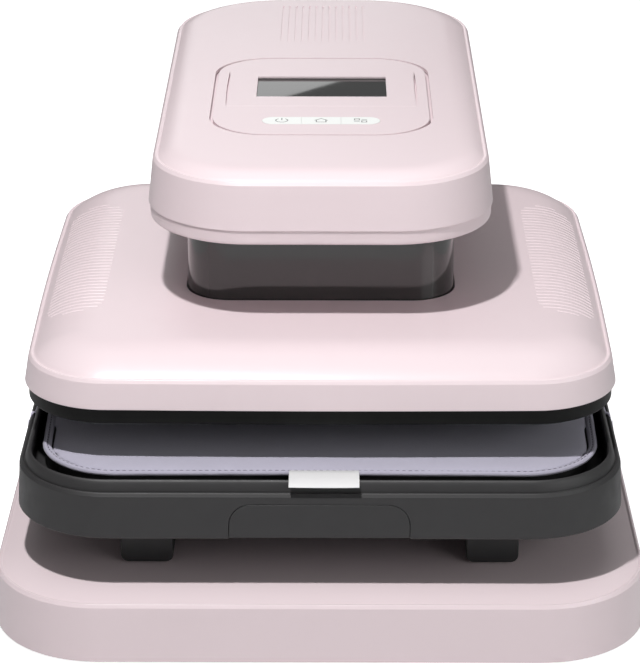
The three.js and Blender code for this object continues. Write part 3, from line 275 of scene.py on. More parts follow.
def ring(outline, inset, height, steps=CORNER_STEPS, side_steps=SIDE_STEPS):
    """Rounded rectangle, anticlockwise from above; a bow swells its sides."""
    x, y = outline.half_x - inset, outline.half_y - inset
    corners = [outline.rear or outline.corner] * 2 + [outline.corner] * 2
    corners = [max(corner - inset, corner / 8) for corner in corners]
    points = []
    for quarter, radius in enumerate(corners):
        toward = (quarter + 1) * math.pi / 2
        facing = toward - math.pi / 4
        centre = Vector((
            math.copysign(x - radius, math.cos(facing)), math.copysign(y - radius, math.sin(facing)),
            height,
        ))
        for step in range(steps + 1):
            turn = (quarter + step / steps) * math.pi / 2
            points.append(centre + radius * Vector((math.cos(turn), math.sin(turn), 0)))
        run = 2 * (x if quarter % 2 == 0 else y) - radius - corners[(quarter + 1) % 4]
        start = points[-1]
        along = Vector((-math.sin(toward), math.cos(toward), 0))
        outward = Vector((math.cos(toward), math.sin(toward), 0))
        bow = outline.bow if quarter % 2 or outline.end_bow is None else outline.end_bow
        for step in range(1, side_steps):
            share = step / side_steps
            points.append(start + along * run * share + outward * bow * math.sin(math.pi * share))
    return points


def loft(name, rings, looped=False):
    """Skin over rings of equal counts: capped at both ends, or joined end to end."""
    count = len(rings[0])
    faces = []
    for band in range(len(rings) if looped else len(rings) - 1):
        low, high = band * count, (band + 1) % len(rings) * count
        for i in range(count):
            k = (i + 1) % count
            faces.append((low + i, low + k, high + k, high + i))
    if not looped:
        last = (len(rings) - 1) * count
        faces.append(tuple(reversed(range(count))))
        faces.append(tuple(range(last, last + count)))
    return new_object(name, [p for one in rings for p in one], faces)


def smoothed(knots, pieces=5):
    """Smooth open path through the knots, which doesn't overshoot them."""
    knots = [np.array(k, float) for k in knots]
    ends = [2 * knots[0] - knots[1], *knots, 2 * knots[-1] - knots[-2]]
    path = []
    for a, b, c, d in zip(ends, ends[1:], ends[2:], ends[3:]):
        t = np.cumsum([0, *(np.linalg.norm(q - p) ** 0.5 for p, q in ((a, b), (b, c), (c, d)))])

        def between(p, q, i, k, at):
            return ((t[k] - at) * p + (at - t[i]) * q) / (t[k] - t[i])

        for step in range(pieces):
            at = t[1] + (t[2] - t[1]) * step / pieces
            one, two, three = between(a, b, 0, 1, at), between(b, c, 1, 2, at), between(c, d, 2, 3, at)
            path.append(
                between(between(one, two, 0, 2, at), between(two, three, 1, 3, at), 1, 2, at)
            )
    path.append(knots[-1])
    return [tuple(float(value) for value in point) for point in path]


def extruded(name, points, front, back):
    """Outline in X and Z, anticlockwise seen from the front, run along Y."""
    count = len(points)
    verts = [(x, y, z) for y in (front, back) for x, z in points]
    faces = [(i, count + i, count + (i + 1) % count, (i + 1) % count) for i in range(count)]
    faces = [tuple(reversed(f)) for f in faces]
    faces += [tuple(range(count)), tuple(reversed(range(count, 2 * count)))]
    obj = new_object(name, verts, faces)
    outward(obj)
    return obj


def outward(obj):
    """Turns every face of a closed mesh outwards."""
    work = bmesh.new()
    work.from_mesh(obj.data)
    bmesh.ops.remove_doubles(work, verts=work.verts, dist=SAME_POINT)
    bmesh.ops.recalc_face_normals(work, faces=work.faces)
    work.to_mesh(obj.data)
    work.free()


def block(name, low, high):
    """Plain box between two corners, for cuts."""
    low, high = Vector(low), Vector(high)
    outline = [(low.x, low.z), (high.x, low.z), (high.x, high.z), (low.x, high.z)]
    return extruded(name, outline, low.y, high.y)


def rounded_block(name, outline, bottom, top):
    return loft(name, [ring(outline, 0, bottom), ring(outline, 0, top)])


def moved(obj, x=0.0, y=0.0, z=0.0):
    obj.data.transform(Matrix.Translation((x, y, z)))
    return obj


def bake(obj):
    """Puts what the modifiers make into the mesh itself."""
    shown = obj.evaluated_get(bpy.context.evaluated_depsgraph_get())
    mesh = bpy.data.meshes.new_from_object(shown)
    old = obj.data
    obj.modifiers.clear()
    obj.data = mesh
    mesh.name = obj.name
    if old.users == 0:
        bpy.data.meshes.remove(old)
    return obj


def discard(*objs):
    for obj in objs:
        mesh = obj.data
        bpy.data.objects.remove(obj)
        if mesh.users == 0:
            bpy.data.meshes.remove(mesh)


def carve(obj, *tools):
    """Cuts the tools out of the piece and removes them."""
    for tool in tools:
        cut = obj.modifiers.new("Cut", "BOOLEAN")
        cut.operation, cut.solver, cut.object = "DIFFERENCE", "EXACT", tool
    bake(obj)
    discard(*tools)
    return obj


def soften(obj, width, segments=2, limit=40):
    """Rounds the sharp edges of a moulded piece."""
    round_over = obj.modifiers.new("Soft edges", "BEVEL")
    round_over.width, round_over.segments = width, segments
    round_over.limit_method, round_over.angle_limit = "ANGLE", math.radians(limit)
    round_over.use_clamp_overlap = True
    return bake(obj)


def joined(obj, *others):
    """Puts the meshes of several objects into the first."""
    work = bmesh.new()
    for one in (obj, *others):
        work.from_mesh(one.data)
    work.to_mesh(obj.data)
    work.free()
    discard(*others)
    return obj


def thickened(obj, thickness):
    """Gives a thin surface its thickness, half to each side."""
    wall = obj.modifiers.new("Thickness", "SOLIDIFY")
    wall.thickness, wall.offset = thickness, 0
    return bake(obj)


# The record's material slot that each finish belongs to
SLOTS = {
    "gloss_pink": "pink_gloss", "moulded_grey": "grey_plastic", "moulded_black": "black_plastic",
    "runner_black": "black_plastic",
    "smoked_shell": "smoked_gloss", "key_white": "white_key", "icon_print": "white_key",
    "window_glass": "display_glass", "board_green": "circuit_board", "rolled_steel": "steel",
    "chromed_steel": "chrome", "cast_metal": "cast_aluminium", "turned_brass": "brass",
    "soft_rubber": "dark_rubber", "felt": "lavender_felt", "mat_thread": "lavender_felt",
    "elastic": "lavender_elastic", "woven_tape": "white_tape", "stone_wool": "mineral_wool",
}


def place(obj, body, finish, *nodes, degrees=34):
    """Gives a finished piece its material and body, and hides the nodes that it stands for."""
    obj.data.materials.clear()
    obj.data.materials.append(bpy.data.materials[finish])
    obj.data.shade_smooth()
    obj.data.set_sharp_from_angle(angle=math.radians(degrees))
    if degrees < 60:
        by_area = obj.modifiers.new("Large faces first", "WEIGHTED_NORMAL")
        by_area.keep_sharp = True
        bake(obj)
    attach(obj, body)
    if nodes:
        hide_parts(*nodes)
    return obj


def middle_of(node):
    low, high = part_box(node)
    return low, high, (low + high) / 2


def half_size(node):
    low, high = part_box(node)
    return (high.x - low.x) / 2, (high.y - low.y) / 2


# The edge that all the covers share: leaning wall, bevel, bead, valley and crown.
# The bead is in shares of its width inwards and of its bevel's height above the ridge
WALL = (0.0, 0.35, 0.7, 0.96)
BEAD = (
    (0.02, -0.98), (0.1, -0.8), (0.22, -0.53), (0.36, -0.22), (0.46, -0.05), (0.57, 0),
    (0.68, -0.02), (0.84, -0.13), (1, -0.2),
)
CROWN = (0.06, 0.14, 0.28, 0.46, 0.66, 0.84, 1)


def cover_knots(sizes, bottom, side_height, rise, run, draft=None, power=2):
    """Inset and height of the shared edge's points, from the foot of the wall to the crown."""
    draft = draft or sizes.draft
    ridge, wall = bottom + side_height, side_height - sizes.bead_rise
    knots = [(up * draft, bottom + up * wall) for up in WALL]
    knots += [(draft + share * sizes.bead, ridge + up * sizes.bead_rise) for share, up in BEAD]
    valley, low = knots[-1]
    for share in CROWN:
        up = 1 - (1 - share) ** power
        knots.append((valley + share * (run - valley), low + up * (ridge + rise - low)))
    return knots


def cover(name, sizes, outline, bottom, top, rise, run, draft=None, power=2):
    """Open-bottomed moulded cover with the shared edge."""
    knots = cover_knots(sizes, bottom, top - rise - bottom, rise, run, draft, power)
    outer = smoothed(knots, 4)
    under = [knots[len(WALL) - 1], *knots[-4:]]
    inner = [(sizes.wall, bottom)]
    inner += [(inset + sizes.wall, height - sizes.wall) for inset, height in under]
    profile = [*reversed(inner), *outer]
    return loft(name, [ring(outline, inset, height) for inset, height in profile])


# Trees of nodes


def add_node(tree, kind, inputs=None, **settings):
    """Adds a node; a value of an input is a constant or the socket that feeds it."""
    node = tree.nodes.new(kind)
    for name, value in settings.items():
        setattr(node, name, value)
    for key, value in (inputs or {}).items():
        several = value if isinstance(value, list) else [value]
        for one in several:
            if isinstance(one, bpy.types.NodeSocket):
                tree.links.new(one, node.inputs[key])
            else:
                node.inputs[key].default_value = one
    return node


def maths(tree, operation, first, second=0.0):
    return add_node(tree, "ShaderNodeMath", {0: first, 1: second}, operation=operation).outputs[0]


def times(tree, first, second):
    return maths(tree, "MULTIPLY", first, second)


def combined(tree, **axes):
    """Vector whose named axes are constants or sockets."""
    return add_node(tree, "ShaderNodeCombineXYZ", axes).outputs[0]


def mixed(tree, factor, first, second):
    """Colour between two colours."""
    return add_node(
        tree, "ShaderNodeMix", {"Factor": factor, 6: first, 7: second}, data_type="RGBA"
    ).outputs[2]


def shape_tree(name, sizes):
    """New Geometry Nodes tree whose named inputs are sizes; gives the tree and its inputs."""
    tree = bpy.data.node_groups.new(name, "GeometryNodeTree")
    tree.interface.new_socket("Geometry", in_out="INPUT", socket_type="NodeSocketGeometry")
    for label, kind in sizes.items():
        tree.interface.new_socket(label, in_out="INPUT", socket_type=f"NodeSocket{kind}")
    tree.interface.new_socket("Geometry", in_out="OUTPUT", socket_type="NodeSocketGeometry")
    return tree, tree.nodes.new("NodeGroupInput").outputs


def close_tree(tree, geometry, material):
    """Ends a tree: instances become a mesh, which gets its material."""
    real = add_node(tree, "GeometryNodeRealizeInstances", {"Geometry": geometry}).outputs[0]
    done = add_node(tree, "GeometryNodeSetMaterial", {"Geometry": real, "Material": material})
    add_node(tree, "NodeGroupOutput", {"Geometry": done.outputs[0]})
    return tree


def grown(obj, tree, values):
    """Runs a tree on an object and keeps the plain mesh that comes out."""
    modifier = obj.modifiers.new(tree.name, "NODES")
    modifier.node_group = tree
    sockets = {
        item.name: item.identifier
        for item in tree.interface.items_tree
        if item.item_type == "SOCKET" and item.in_out == "INPUT"
    }
    for name, value in values.items():
        modifier[sockets[name]] = value
    return bake(obj)


def slot_tree():
    """Row of round-ended slots along X, each running along Y, to cut out of a cover."""
    tree, sizes = shape_tree("Slot row", {
        "Count": "Int", "Pitch": "Float", "Width": "Float", "Length": "Float", "Depth": "Float",
        "Material": "Material",
    })
    stadium = add_node(
        tree, "GeometryNodeCurvePrimitiveQuadrilateral",
        {"Width": sizes["Width"], "Height": sizes["Length"]}, mode="RECTANGLE",
    )
    # A little under half, so that the round ends don't meet in one point
    radius = times(tree, sizes["Width"], 0.499)
    rounded = add_node(
        tree, "GeometryNodeFilletCurve", {"Curve": stadium.outputs[0], "Count": 6, "Radius": radius},
        mode="POLY",
    )
    face = add_node(tree, "GeometryNodeFillCurve", {"Curve": rounded.outputs[0]}, mode="NGONS")
    walls = add_node(tree, "GeometryNodeExtrudeMesh", {
        "Mesh": face.outputs[0], "Offset": combined(tree, Z=sizes["Depth"]), "Offset Scale": 1.0,
    }, mode="FACES")
    floor = add_node(tree, "GeometryNodeFlipFaces", {"Mesh": face.outputs[0]})
    both = add_node(
        tree, "GeometryNodeJoinGeometry", {"Geometry": [walls.outputs[0], floor.outputs[0]]}
    )
    slot = add_node(
        tree, "GeometryNodeMergeByDistance", {"Geometry": both.outputs[0], "Distance": SAME_POINT}
    )
    last = maths(tree, "SUBTRACT", sizes["Count"], 1.0)
    first = times(tree, times(tree, last, sizes["Pitch"]), -0.5)
    row = add_node(tree, "GeometryNodeMeshLine", {
        "Count": sizes["Count"], "Start Location": combined(tree, X=first),
        "Offset": combined(tree, X=sizes["Pitch"]),
    })
    slots = add_node(
        tree, "GeometryNodeInstanceOnPoints", {"Points": row.outputs[0], "Instance": slot.outputs[0]}
    )
    return close_tree(tree, slots.outputs[0], sizes["Material"])


def slot_row(name, count, pitch, width, run, depth):
    tool = new_object(name, [], [])
    values = {
        "Count": count, "Pitch": pitch, "Width": width, "Length": run, "Depth": depth,
        "Material": bpy.data.materials["gloss_pink"],
    }
    return grown(tool, named_tree("Slot row", slot_tree), values)


def named_tree(name, build):
    return bpy.data.node_groups.get(name) or build()


def rib_tree():
    """Field of ribs along X that follows the surface of another object from above."""
    tree, sizes = shape_tree("Cover ribs", {
        "Cover": "Object", "Count": "Int", "Pitch": "Float", "Length": "Float", "Radius": "Float",
        "Proud": "Float", "Corner": "Float", "Draw": "Float", "Middle": "Vector",
        "Material": "Material",
    })
    points_across = 33
    half = times(tree, sizes["Length"], 0.5)
    step = maths(tree, "DIVIDE", sizes["Length"], float(points_across - 1))
    line = add_node(tree, "GeometryNodeMeshLine", {
        "Count": points_across, "Start Location": combined(tree, X=times(tree, half, -1.0)),
        "Offset": combined(tree, X=step),
    })
    last = maths(tree, "SUBTRACT", sizes["Count"], 1.0)
    field = times(tree, times(tree, last, sizes["Pitch"]), 0.5)
    rows = add_node(tree, "GeometryNodeMeshLine", {
        "Count": sizes["Count"], "Start Location": combined(tree, Y=times(tree, field, -1.0)),
        "Offset": combined(tree, Y=sizes["Pitch"]),
    })
    lines = add_node(
        tree, "GeometryNodeInstanceOnPoints", {"Points": rows.outputs[0], "Instance": line.outputs[0]}
    )
    flat = add_node(tree, "GeometryNodeRealizeInstances", {"Geometry": lines.outputs[0]})
    here = add_node(
        tree, "ShaderNodeSeparateXYZ", {0: add_node(tree, "GeometryNodeInputPosition").outputs[0]}
    )
    from_end = maths(tree, "SUBTRACT", field, maths(tree, "ABSOLUTE", here.outputs["Y"]))
    short = maths(tree, "MAXIMUM", maths(tree, "SUBTRACT", sizes["Corner"], from_end), 0.0)
    squares = [maths(tree, "POWER", one, 2.0) for one in (sizes["Corner"], short)]
    root = maths(tree, "SQRT", maths(tree, "MAXIMUM", maths(tree, "SUBTRACT", *squares), 0.0))
    rounding = maths(tree, "SUBTRACT", 1.0, maths(tree, "DIVIDE", root, sizes["Corner"]))
    drawn_in = times(tree, sizes["Draw"], rounding)
    share = maths(tree, "SUBTRACT", 1.0, maths(tree, "DIVIDE", drawn_in, half))
    spread = combined(tree, X=times(tree, here.outputs["X"], share), Y=here.outputs["Y"])
    over = add_node(
        tree, "ShaderNodeVectorMath", {0: spread, 1: sizes["Middle"]}, operation="ADD"
    )
    target = add_node(
        tree, "GeometryNodeObjectInfo", {"Object": sizes["Cover"]}, transform_space="RELATIVE"
    )
    hit = add_node(tree, "GeometryNodeRaycast", {
        "Target Geometry": target.outputs["Geometry"], "Source Position": over.outputs[0],
        "Ray Direction": (0, 0, -1), "Ray Length": 1.0,
    })
    lift = combined(tree, Z=maths(tree, "SUBTRACT", sizes["Proud"], sizes["Radius"]))
    laid = add_node(tree, "GeometryNodeSetPosition", {
        "Geometry": flat.outputs[0], "Position": hit.outputs["Hit Position"], "Offset": lift,
    })
    paths = add_node(tree, "GeometryNodeMeshToCurve", {"Mesh": laid.outputs[0]})
    section = add_node(
        tree, "GeometryNodeCurvePrimitiveCircle", {"Resolution": 12, "Radius": sizes["Radius"]}
    )
    ribs = add_node(tree, "GeometryNodeCurveToMesh", {
        "Curve": paths.outputs[0], "Profile Curve": section.outputs[0], "Fill Caps": True,
    })
    return close_tree(tree, ribs.outputs[0], sizes["Material"])


def stitch_tree():
    """Stitches laid end to end along a closed line."""
    tree, sizes = shape_tree("Stitches", {
        "Pitch": "Float", "Length": "Float", "Thickness": "Float", "Material": "Material",
    })
    path = add_node(tree, "GeometryNodeMeshToCurve", {"Mesh": sizes["Geometry"]})
    evenly = add_node(
        tree, "GeometryNodeResampleCurve", {"Curve": path.outputs[0], "Length": sizes["Pitch"]},
        mode="LENGTH",
    )
    bead = add_node(
        tree, "GeometryNodeMeshUVSphere", {"Segments": 8, "Rings": 6, "Radius": 0.5}
    )
    size = combined(tree, X=sizes["Length"], Y=sizes["Thickness"], Z=sizes["Thickness"])
    facing = add_node(tree, "FunctionNodeAlignRotationToVector", {
        "Vector": add_node(tree, "GeometryNodeInputTangent").outputs[0],
    }, axis="X")
    stitches = add_node(tree, "GeometryNodeInstanceOnPoints", {
        "Points": evenly.outputs[0], "Instance": bead.outputs[0], "Rotation": facing.outputs[0],
        "Scale": size,
    })
    return close_tree(tree, stitches.outputs[0], sizes["Material"])


def screw_tree():
    """Low round screw heads with a cross recess on the points, facing the turned +Z."""
    tree, sizes = shape_tree("Screw heads", {
        "Radius": "Float", "Height": "Float", "Turn": "Vector", "Material": "Material",
    })
    top, wide, narrow = (times(tree, sizes["Radius"], share) for share in (0.78, 1.1, 0.26))
    head = add_node(tree, "GeometryNodeMeshCone", {
        "Vertices": 32, "Radius Top": top, "Radius Bottom": sizes["Radius"], "Depth": sizes["Height"],
    }, fill_type="NGON")
    bars = [
        add_node(
            tree, "GeometryNodeMeshCube", {"Size": combined(tree, X=x, Y=y, Z=sizes["Height"])}
        ).outputs[0]
        for x, y in ((wide, narrow), (narrow, wide))
    ]
    both = add_node(tree, "GeometryNodeJoinGeometry", {"Geometry": bars})
    raised = add_node(tree, "GeometryNodeTransform", {
        "Geometry": both.outputs[0],
        "Translation": combined(tree, Z=times(tree, sizes["Height"], 0.95)),
    })
    crossed = add_node(
        tree, "GeometryNodeMeshBoolean", {"Mesh 1": head.outputs[0]}, operation="DIFFERENCE"
    )
    tree.links.new(raised.outputs[0], crossed.inputs["Mesh 2"])
    turned = add_node(
        tree, "GeometryNodeTransform", {"Geometry": crossed.outputs[0], "Rotation": sizes["Turn"]}
    )
    screws = add_node(tree, "GeometryNodeInstanceOnPoints", {
        "Points": sizes["Geometry"], "Instance": turned.outputs[0],
    })
    return close_tree(tree, screws.outputs[0], sizes["Material"])


def screws(name, places, turn, radius=0.0028, height=0.0014):
    heads = new_object(name, places, [])
    values = {
        "Radius": radius, "Height": height, "Turn": turn,
        "Material": bpy.data.materials["rolled_steel"],
    }
    grown(heads, named_tree("Screw heads", screw_tree), values)
    return place(heads, "frame", "rolled_steel")


# Materials


def effect(name, fineness, default):
    """New shader group of a place and a fineness; gives the tree, the place and the fineness."""
    tree = bpy.data.node_groups.new(name, "ShaderNodeTree")
    tree.interface.new_socket("Vector", in_out="INPUT", socket_type="NodeSocketVector")
    socket = tree.interface.new_socket(fineness, in_out="INPUT", socket_type="NodeSocketFloat")
    socket.default_value = default
    for label in ("Height", "Drift", "Polish"):
        tree.interface.new_socket(label, in_out="OUTPUT", socket_type="NodeSocketFloat")
    given = tree.nodes.new("NodeGroupInput").outputs
    return tree, given["Vector"], given[fineness]


def noise_at(tree, vector, scale, detail=3.0, roughness=0.5):
    return add_node(tree, "ShaderNodeTexNoise", {
        "Vector": vector, "Scale": scale, "Detail": detail, "Roughness": roughness,
    }).outputs[0]


def stretched(tree, vector, x, y, z):
    return add_node(
        tree, "ShaderNodeVectorMath", {0: vector, 1: (x, y, z)}, operation="MULTIPLY"
    ).outputs[0]


def mould_effect():
    """Spark-eroded grain, slow waves and colour drift of moulded plastic."""
    tree, at, fineness = effect("Moulded plastic", "Grain", 2200.0)
    grain = noise_at(tree, at, fineness, 2.0)
    waves = noise_at(tree, at, 14.0, 2.0)
    add_node(tree, "NodeGroupOutput", {
        "Height": maths(tree, "ADD", grain, times(tree, waves, 0.6)),
        "Drift": noise_at(tree, at, 7.0, 4.0), "Polish": noise_at(tree, at, 90.0, 5.0, 0.6),
    })
    return tree


def brush_effect():
    """Fine parallel lines of rolled or ground metal, along X, and stains."""
    tree, at, fineness = effect("Brushed metal", "Lines", 900.0)
    lines = noise_at(tree, stretched(tree, at, 0.02, 1.0, 1.0), fineness, 3.0)
    stains = noise_at(tree, at, 30.0, 5.0, 0.6)
    add_node(tree, "NodeGroupOutput", {
        "Height": lines, "Drift": stains,
        "Polish": maths(tree, "ADD", times(tree, lines, 0.6), times(tree, stains, 0.4)),
    })
    return tree


def fibre_effect():
    """Short matted fibres with a fine knit under them."""
    tree, at, fineness = effect("Matted fibres", "Fineness", 1500.0)
    one = noise_at(tree, stretched(tree, at, 1.0, 0.3, 1.0), fineness, 4.0, 0.7)
    two = noise_at(tree, stretched(tree, at, 0.3, 1.0, 1.0), fineness, 4.0, 0.7)
    knots = add_node(
        tree, "ShaderNodeTexVoronoi", {"Vector": at, "Scale": times(tree, fineness, 0.5)}
    ).outputs["Distance"]
    height = maths(tree, "ADD", maths(tree, "MAXIMUM", one, two), times(tree, knots, 0.5))
    add_node(tree, "NodeGroupOutput", {
        "Height": height, "Drift": noise_at(tree, at, 60.0, 6.0, 0.7), "Polish": one,
    })
    return tree


def weave_effect():
    """Plain weave of threads along X and Y."""
    tree, at, fineness = effect("Plain weave", "Threads", 1400.0)
    warp, weft = (
        add_node(
            tree, "ShaderNodeTexWave", {"Vector": at, "Scale": times(tree, fineness, 0.16)},
            wave_type="BANDS", bands_direction=direction,
        ).outputs["Fac"]
        for direction in ("X", "Y")
    )
    add_node(tree, "NodeGroupOutput", {
        "Height": maths(tree, "MAXIMUM", warp, maths(tree, "SUBTRACT", 1.0, weft)),
        "Drift": noise_at(tree, at, 120.0, 4.0), "Polish": times(tree, warp, weft),
    })
    return tree


EFFECTS = {
    "mould": ("Moulded plastic", "Grain", mould_effect),
    "brush": ("Brushed metal", "Lines", brush_effect),
    "fibre": ("Matted fibres", "Fineness", fibre_effect),
    "weave": ("Plain weave", "Threads", weave_effect),
}


def shaded(values, share):
    return (*(value * share for value in values), 1.0)


def finish(name, effect_name, fineness, values, drift, roughness, depth, **sockets):
    """Material whose colour, roughness and relief vary with one of the shared effects."""
    material = bpy.data.materials.new(name)
    material.use_nodes = True
    tree = material.node_tree
    surface = tree.nodes["Principled BSDF"]
    for label, value in sockets.items():
        surface.inputs[label.replace("_", " ")].default_value = value
    group_name, fineness_name, build = EFFECTS[effect_name]
    at = add_node(tree, "ShaderNodeTexCoord").outputs["Object"]
    group = bpy.data.node_groups.get(group_name) or build()
    look = add_node(
        tree, "ShaderNodeGroup", {"Vector": at, fineness_name: fineness}, node_tree=group
    ).outputs
    tones = mixed(tree, look["Drift"], shaded(values, 1 - drift), shaded(values, 1 + drift))
    low, high = roughness
    rough = add_node(
        tree, "ShaderNodeMapRange",
        {"Value": look["Polish"], "From Min": 0.3, "From Max": 0.7, "To Min": low, "To Max": high},
    )
    relief = add_node(
        tree, "ShaderNodeBump", {"Height": look["Height"], "Distance": depth, "Strength": 1.0}
    )
    tree.links.new(tones, surface.inputs["Base Color"])
    tree.links.new(rough.outputs[0], surface.inputs["Roughness"])
    tree.links.new(relief.outputs[0], surface.inputs["Normal"])
    return material


def metal(name, red, green, blue, roughness):
    values = tuple(linear(v) for v in (red, green, blue))
    return finish(name, "brush", 900.0, values, 0.06, roughness, 0.00001, Metallic=1.0)


def circuit_board():
    """Green board with a printed pattern of straight tracks."""
    material = finish(
        "board_green", "mould", 1500.0, (linear(24), linear(86), linear(56)), 0.1, (0.35, 0.5),
        0.00002,
    )
    tree = material.node_tree
    surface = tree.nodes["Principled BSDF"]
    old = surface.inputs["Base Color"].links[0].from_socket
    at = add_node(tree, "ShaderNodeTexCoord").outputs["Object"]
    tracks = add_node(
        tree, "ShaderNodeTexBrick", {
            "Vector": at, "Scale": 160.0, "Mortar Size": 0.05, "Color1": (0, 0, 0, 1),
            "Color2": (0, 0, 0, 1), "Mortar": (1, 1, 1, 1),
        },
    ).outputs["Color"]
    tones = mixed(tree, tracks, old, (linear(60), linear(140), linear(90), 1.0))
    tree.links.new(tones, surface.inputs["Base Color"])


def build_finishes(sizes):
    c = sizes.colours
    finish(
        "gloss_pink", "mould", 2600.0, c.pink, 0.012, (0.36, 0.42), 0.000004,
        Coat_Weight=0.2, Coat_Roughness=0.18, Specular_IOR_Level=0.4,
    )
    finish("moulded_grey", "mould", 1900.0, c.grey, 0.04, (0.46, 0.56), 0.00002)
    finish(
        "moulded_black", "mould", 1900.0, c.black, 0.05, (0.42, 0.54), 0.000015,
        Specular_IOR_Level=0.2,
    )
    finish("runner_black", "mould", 1900.0, c.runner, 0.05, (0.42, 0.54), 0.000015)
    finish(
        "smoked_shell", "mould", 2600.0, c.smoked, 0.03, (0.10, 0.16), 0.000002,
        Coat_Weight=0.8, Coat_Roughness=0.04,
    )
    finish("key_white", "mould", 2600.0, c.key, 0.01, (0.34, 0.42), 0.000003)
    finish("icon_print", "mould", 2600.0, c.icon, 0.02, (0.5, 0.6), 0.000002)
    finish("window_glass", "mould", 2600.0, c.glass, 0.01, (0.02, 0.03), 0.0000002)
    finish("soft_rubber", "mould", 1300.0, (linear(42),) * 3, 0.08, (0.75, 0.9), 0.00004)
    finish(
        "felt", "fibre", 1500.0, c.felt, 0.07, (0.85, 1.0), 0.00012,
        Sheen_Weight=0.3, Sheen_Roughness=0.5,
    )
    finish("mat_thread", "weave", 3000.0, c.thread, 0.08, (0.7, 0.85), 0.00003)
    finish("elastic", "weave", 1300.0, c.elastic, 0.06, (0.75, 0.9), 0.00006, Sheen_Weight=0.2)
    finish("woven_tape", "weave", 1700.0, c.tape, 0.02, (0.65, 0.8), 0.00003, Sheen_Weight=0.15)
    finish(
        "stone_wool", "fibre", 500.0, (linear(216), linear(208), linear(192)), 0.1, (0.9, 1.0), 0.0003,
    )
    metal("rolled_steel", 154, 157, 160, (0.34, 0.46))
    metal("chromed_steel", 205, 208, 211, (0.08, 0.14))
    metal("cast_metal", 92, 93, 95, (0.4, 0.55))
    metal("turned_brass", 178, 142, 78, (0.28, 0.4))
    circuit_board()


# Pieces


def post_cuts(bottom, top, gap=0.001):
    """Tools for the two holes that the posts pass through."""
    cuts = []
    for side, _ in SIDES:
        low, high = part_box(f"pillar_post_{side}")
        cuts.append(block(
            "post_cut", (low.x - gap, low.y - gap, bottom), (high.x + gap, high.y + gap, top),
        ))
    return cuts


def tube(name, outline, bottom, top, wall):
    """Upright tube with an open top and bottom."""
    levels = [(0, bottom), (0, top), (wall, top), (wall, bottom)]
    return loft(name, [ring(outline, *level) for level in levels], looped=True)


def turned(name, profile, steps=48):
    """Profile of radius and height, from the axis to the axis, turned about +Z."""
    inner = profile[1:-1]
    points = [(0, 0, profile[0][1]), (0, 0, profile[-1][1])]
    for radius, height in inner:
        for i in range(steps):
            turn = 2 * math.pi * i / steps
            points.append((radius * math.cos(turn), radius * math.sin(turn), height))
    faces = []
    for i in range(steps):
        k = (i + 1) % steps
        faces.append((0, 2 + k, 2 + i))
        for row in range(len(inner) - 1):
            low = 2 + row * steps
            faces.append((low + i, low + k, low + steps + k, low + steps + i))
        last = 2 + (len(inner) - 1) * steps
        faces.append((1, last + i, last + k))
    obj = new_object(name, points, faces)
    outward(obj)
    return obj


def build_base(sizes):
    covers = sizes.covers
    low, high, middle = middle_of("base_shell")
    outline = Outline(*half_size("base_shell"), covers.base_corner)
    shell = cover("base_cover", covers, outline, low.z, high.z, covers.base_rise, covers.base_run)
    moved(shell, middle.x, middle.y)
    carve(shell, *post_cuts(high.z - 2 * covers.wall, high.z + covers.wall))
    soften(shell, covers.soft_edge)
    place(shell, "frame", "gloss_pink", "base_shell")
    for end, _ in ENDS:
        for side, _ in SIDES:
            build_foot(f"{end}_{side}")
    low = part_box("base_floor")[0]
    screw_inset, proud = 16 * MM, 0.4 * MM
    reach_x, reach_y = (half - screw_inset for half in half_size("base_floor"))
    # Two screws near each edge, as shares of the reach
    along_x, along_y = 0.45, 0.42
    shares = [(x, y * along_y) for x in (-1, 1) for y in (-1, 1)]
    shares += [(x * along_x, y) for y in (-1, 1) for x in (-1, 1)]
    spots = [(x * reach_x, y * reach_y, low.z - proud) for x, y in shares]
    screws("floor_screws", spots, (math.pi, 0, 0))


def build_foot(place_name):
    node = f"foot_{place_name}"
    low, high, middle = middle_of(node)
    radius, height = (high.x - low.x) / 2, high.z - low.z
    bevel, hollow, edge = 2 * MM, 0.6 * MM, 0.4 * MM
    profile = [(0, hollow), (0.55 * radius, hollow), (0.62 * radius, 0)]
    profile += [
        (radius - bevel + bevel * math.sin(t), bevel - bevel * math.cos(t))
        for t in np.linspace(0, math.pi / 2, 6)
    ]
    profile += [(radius, height - edge), (radius - edge, height), (0, height)]
    foot = turned(f"rubber_foot_{place_name}", profile)
    moved(foot, middle.x, middle.y, low.z)
    place(foot, "frame", "soft_rubber", node)


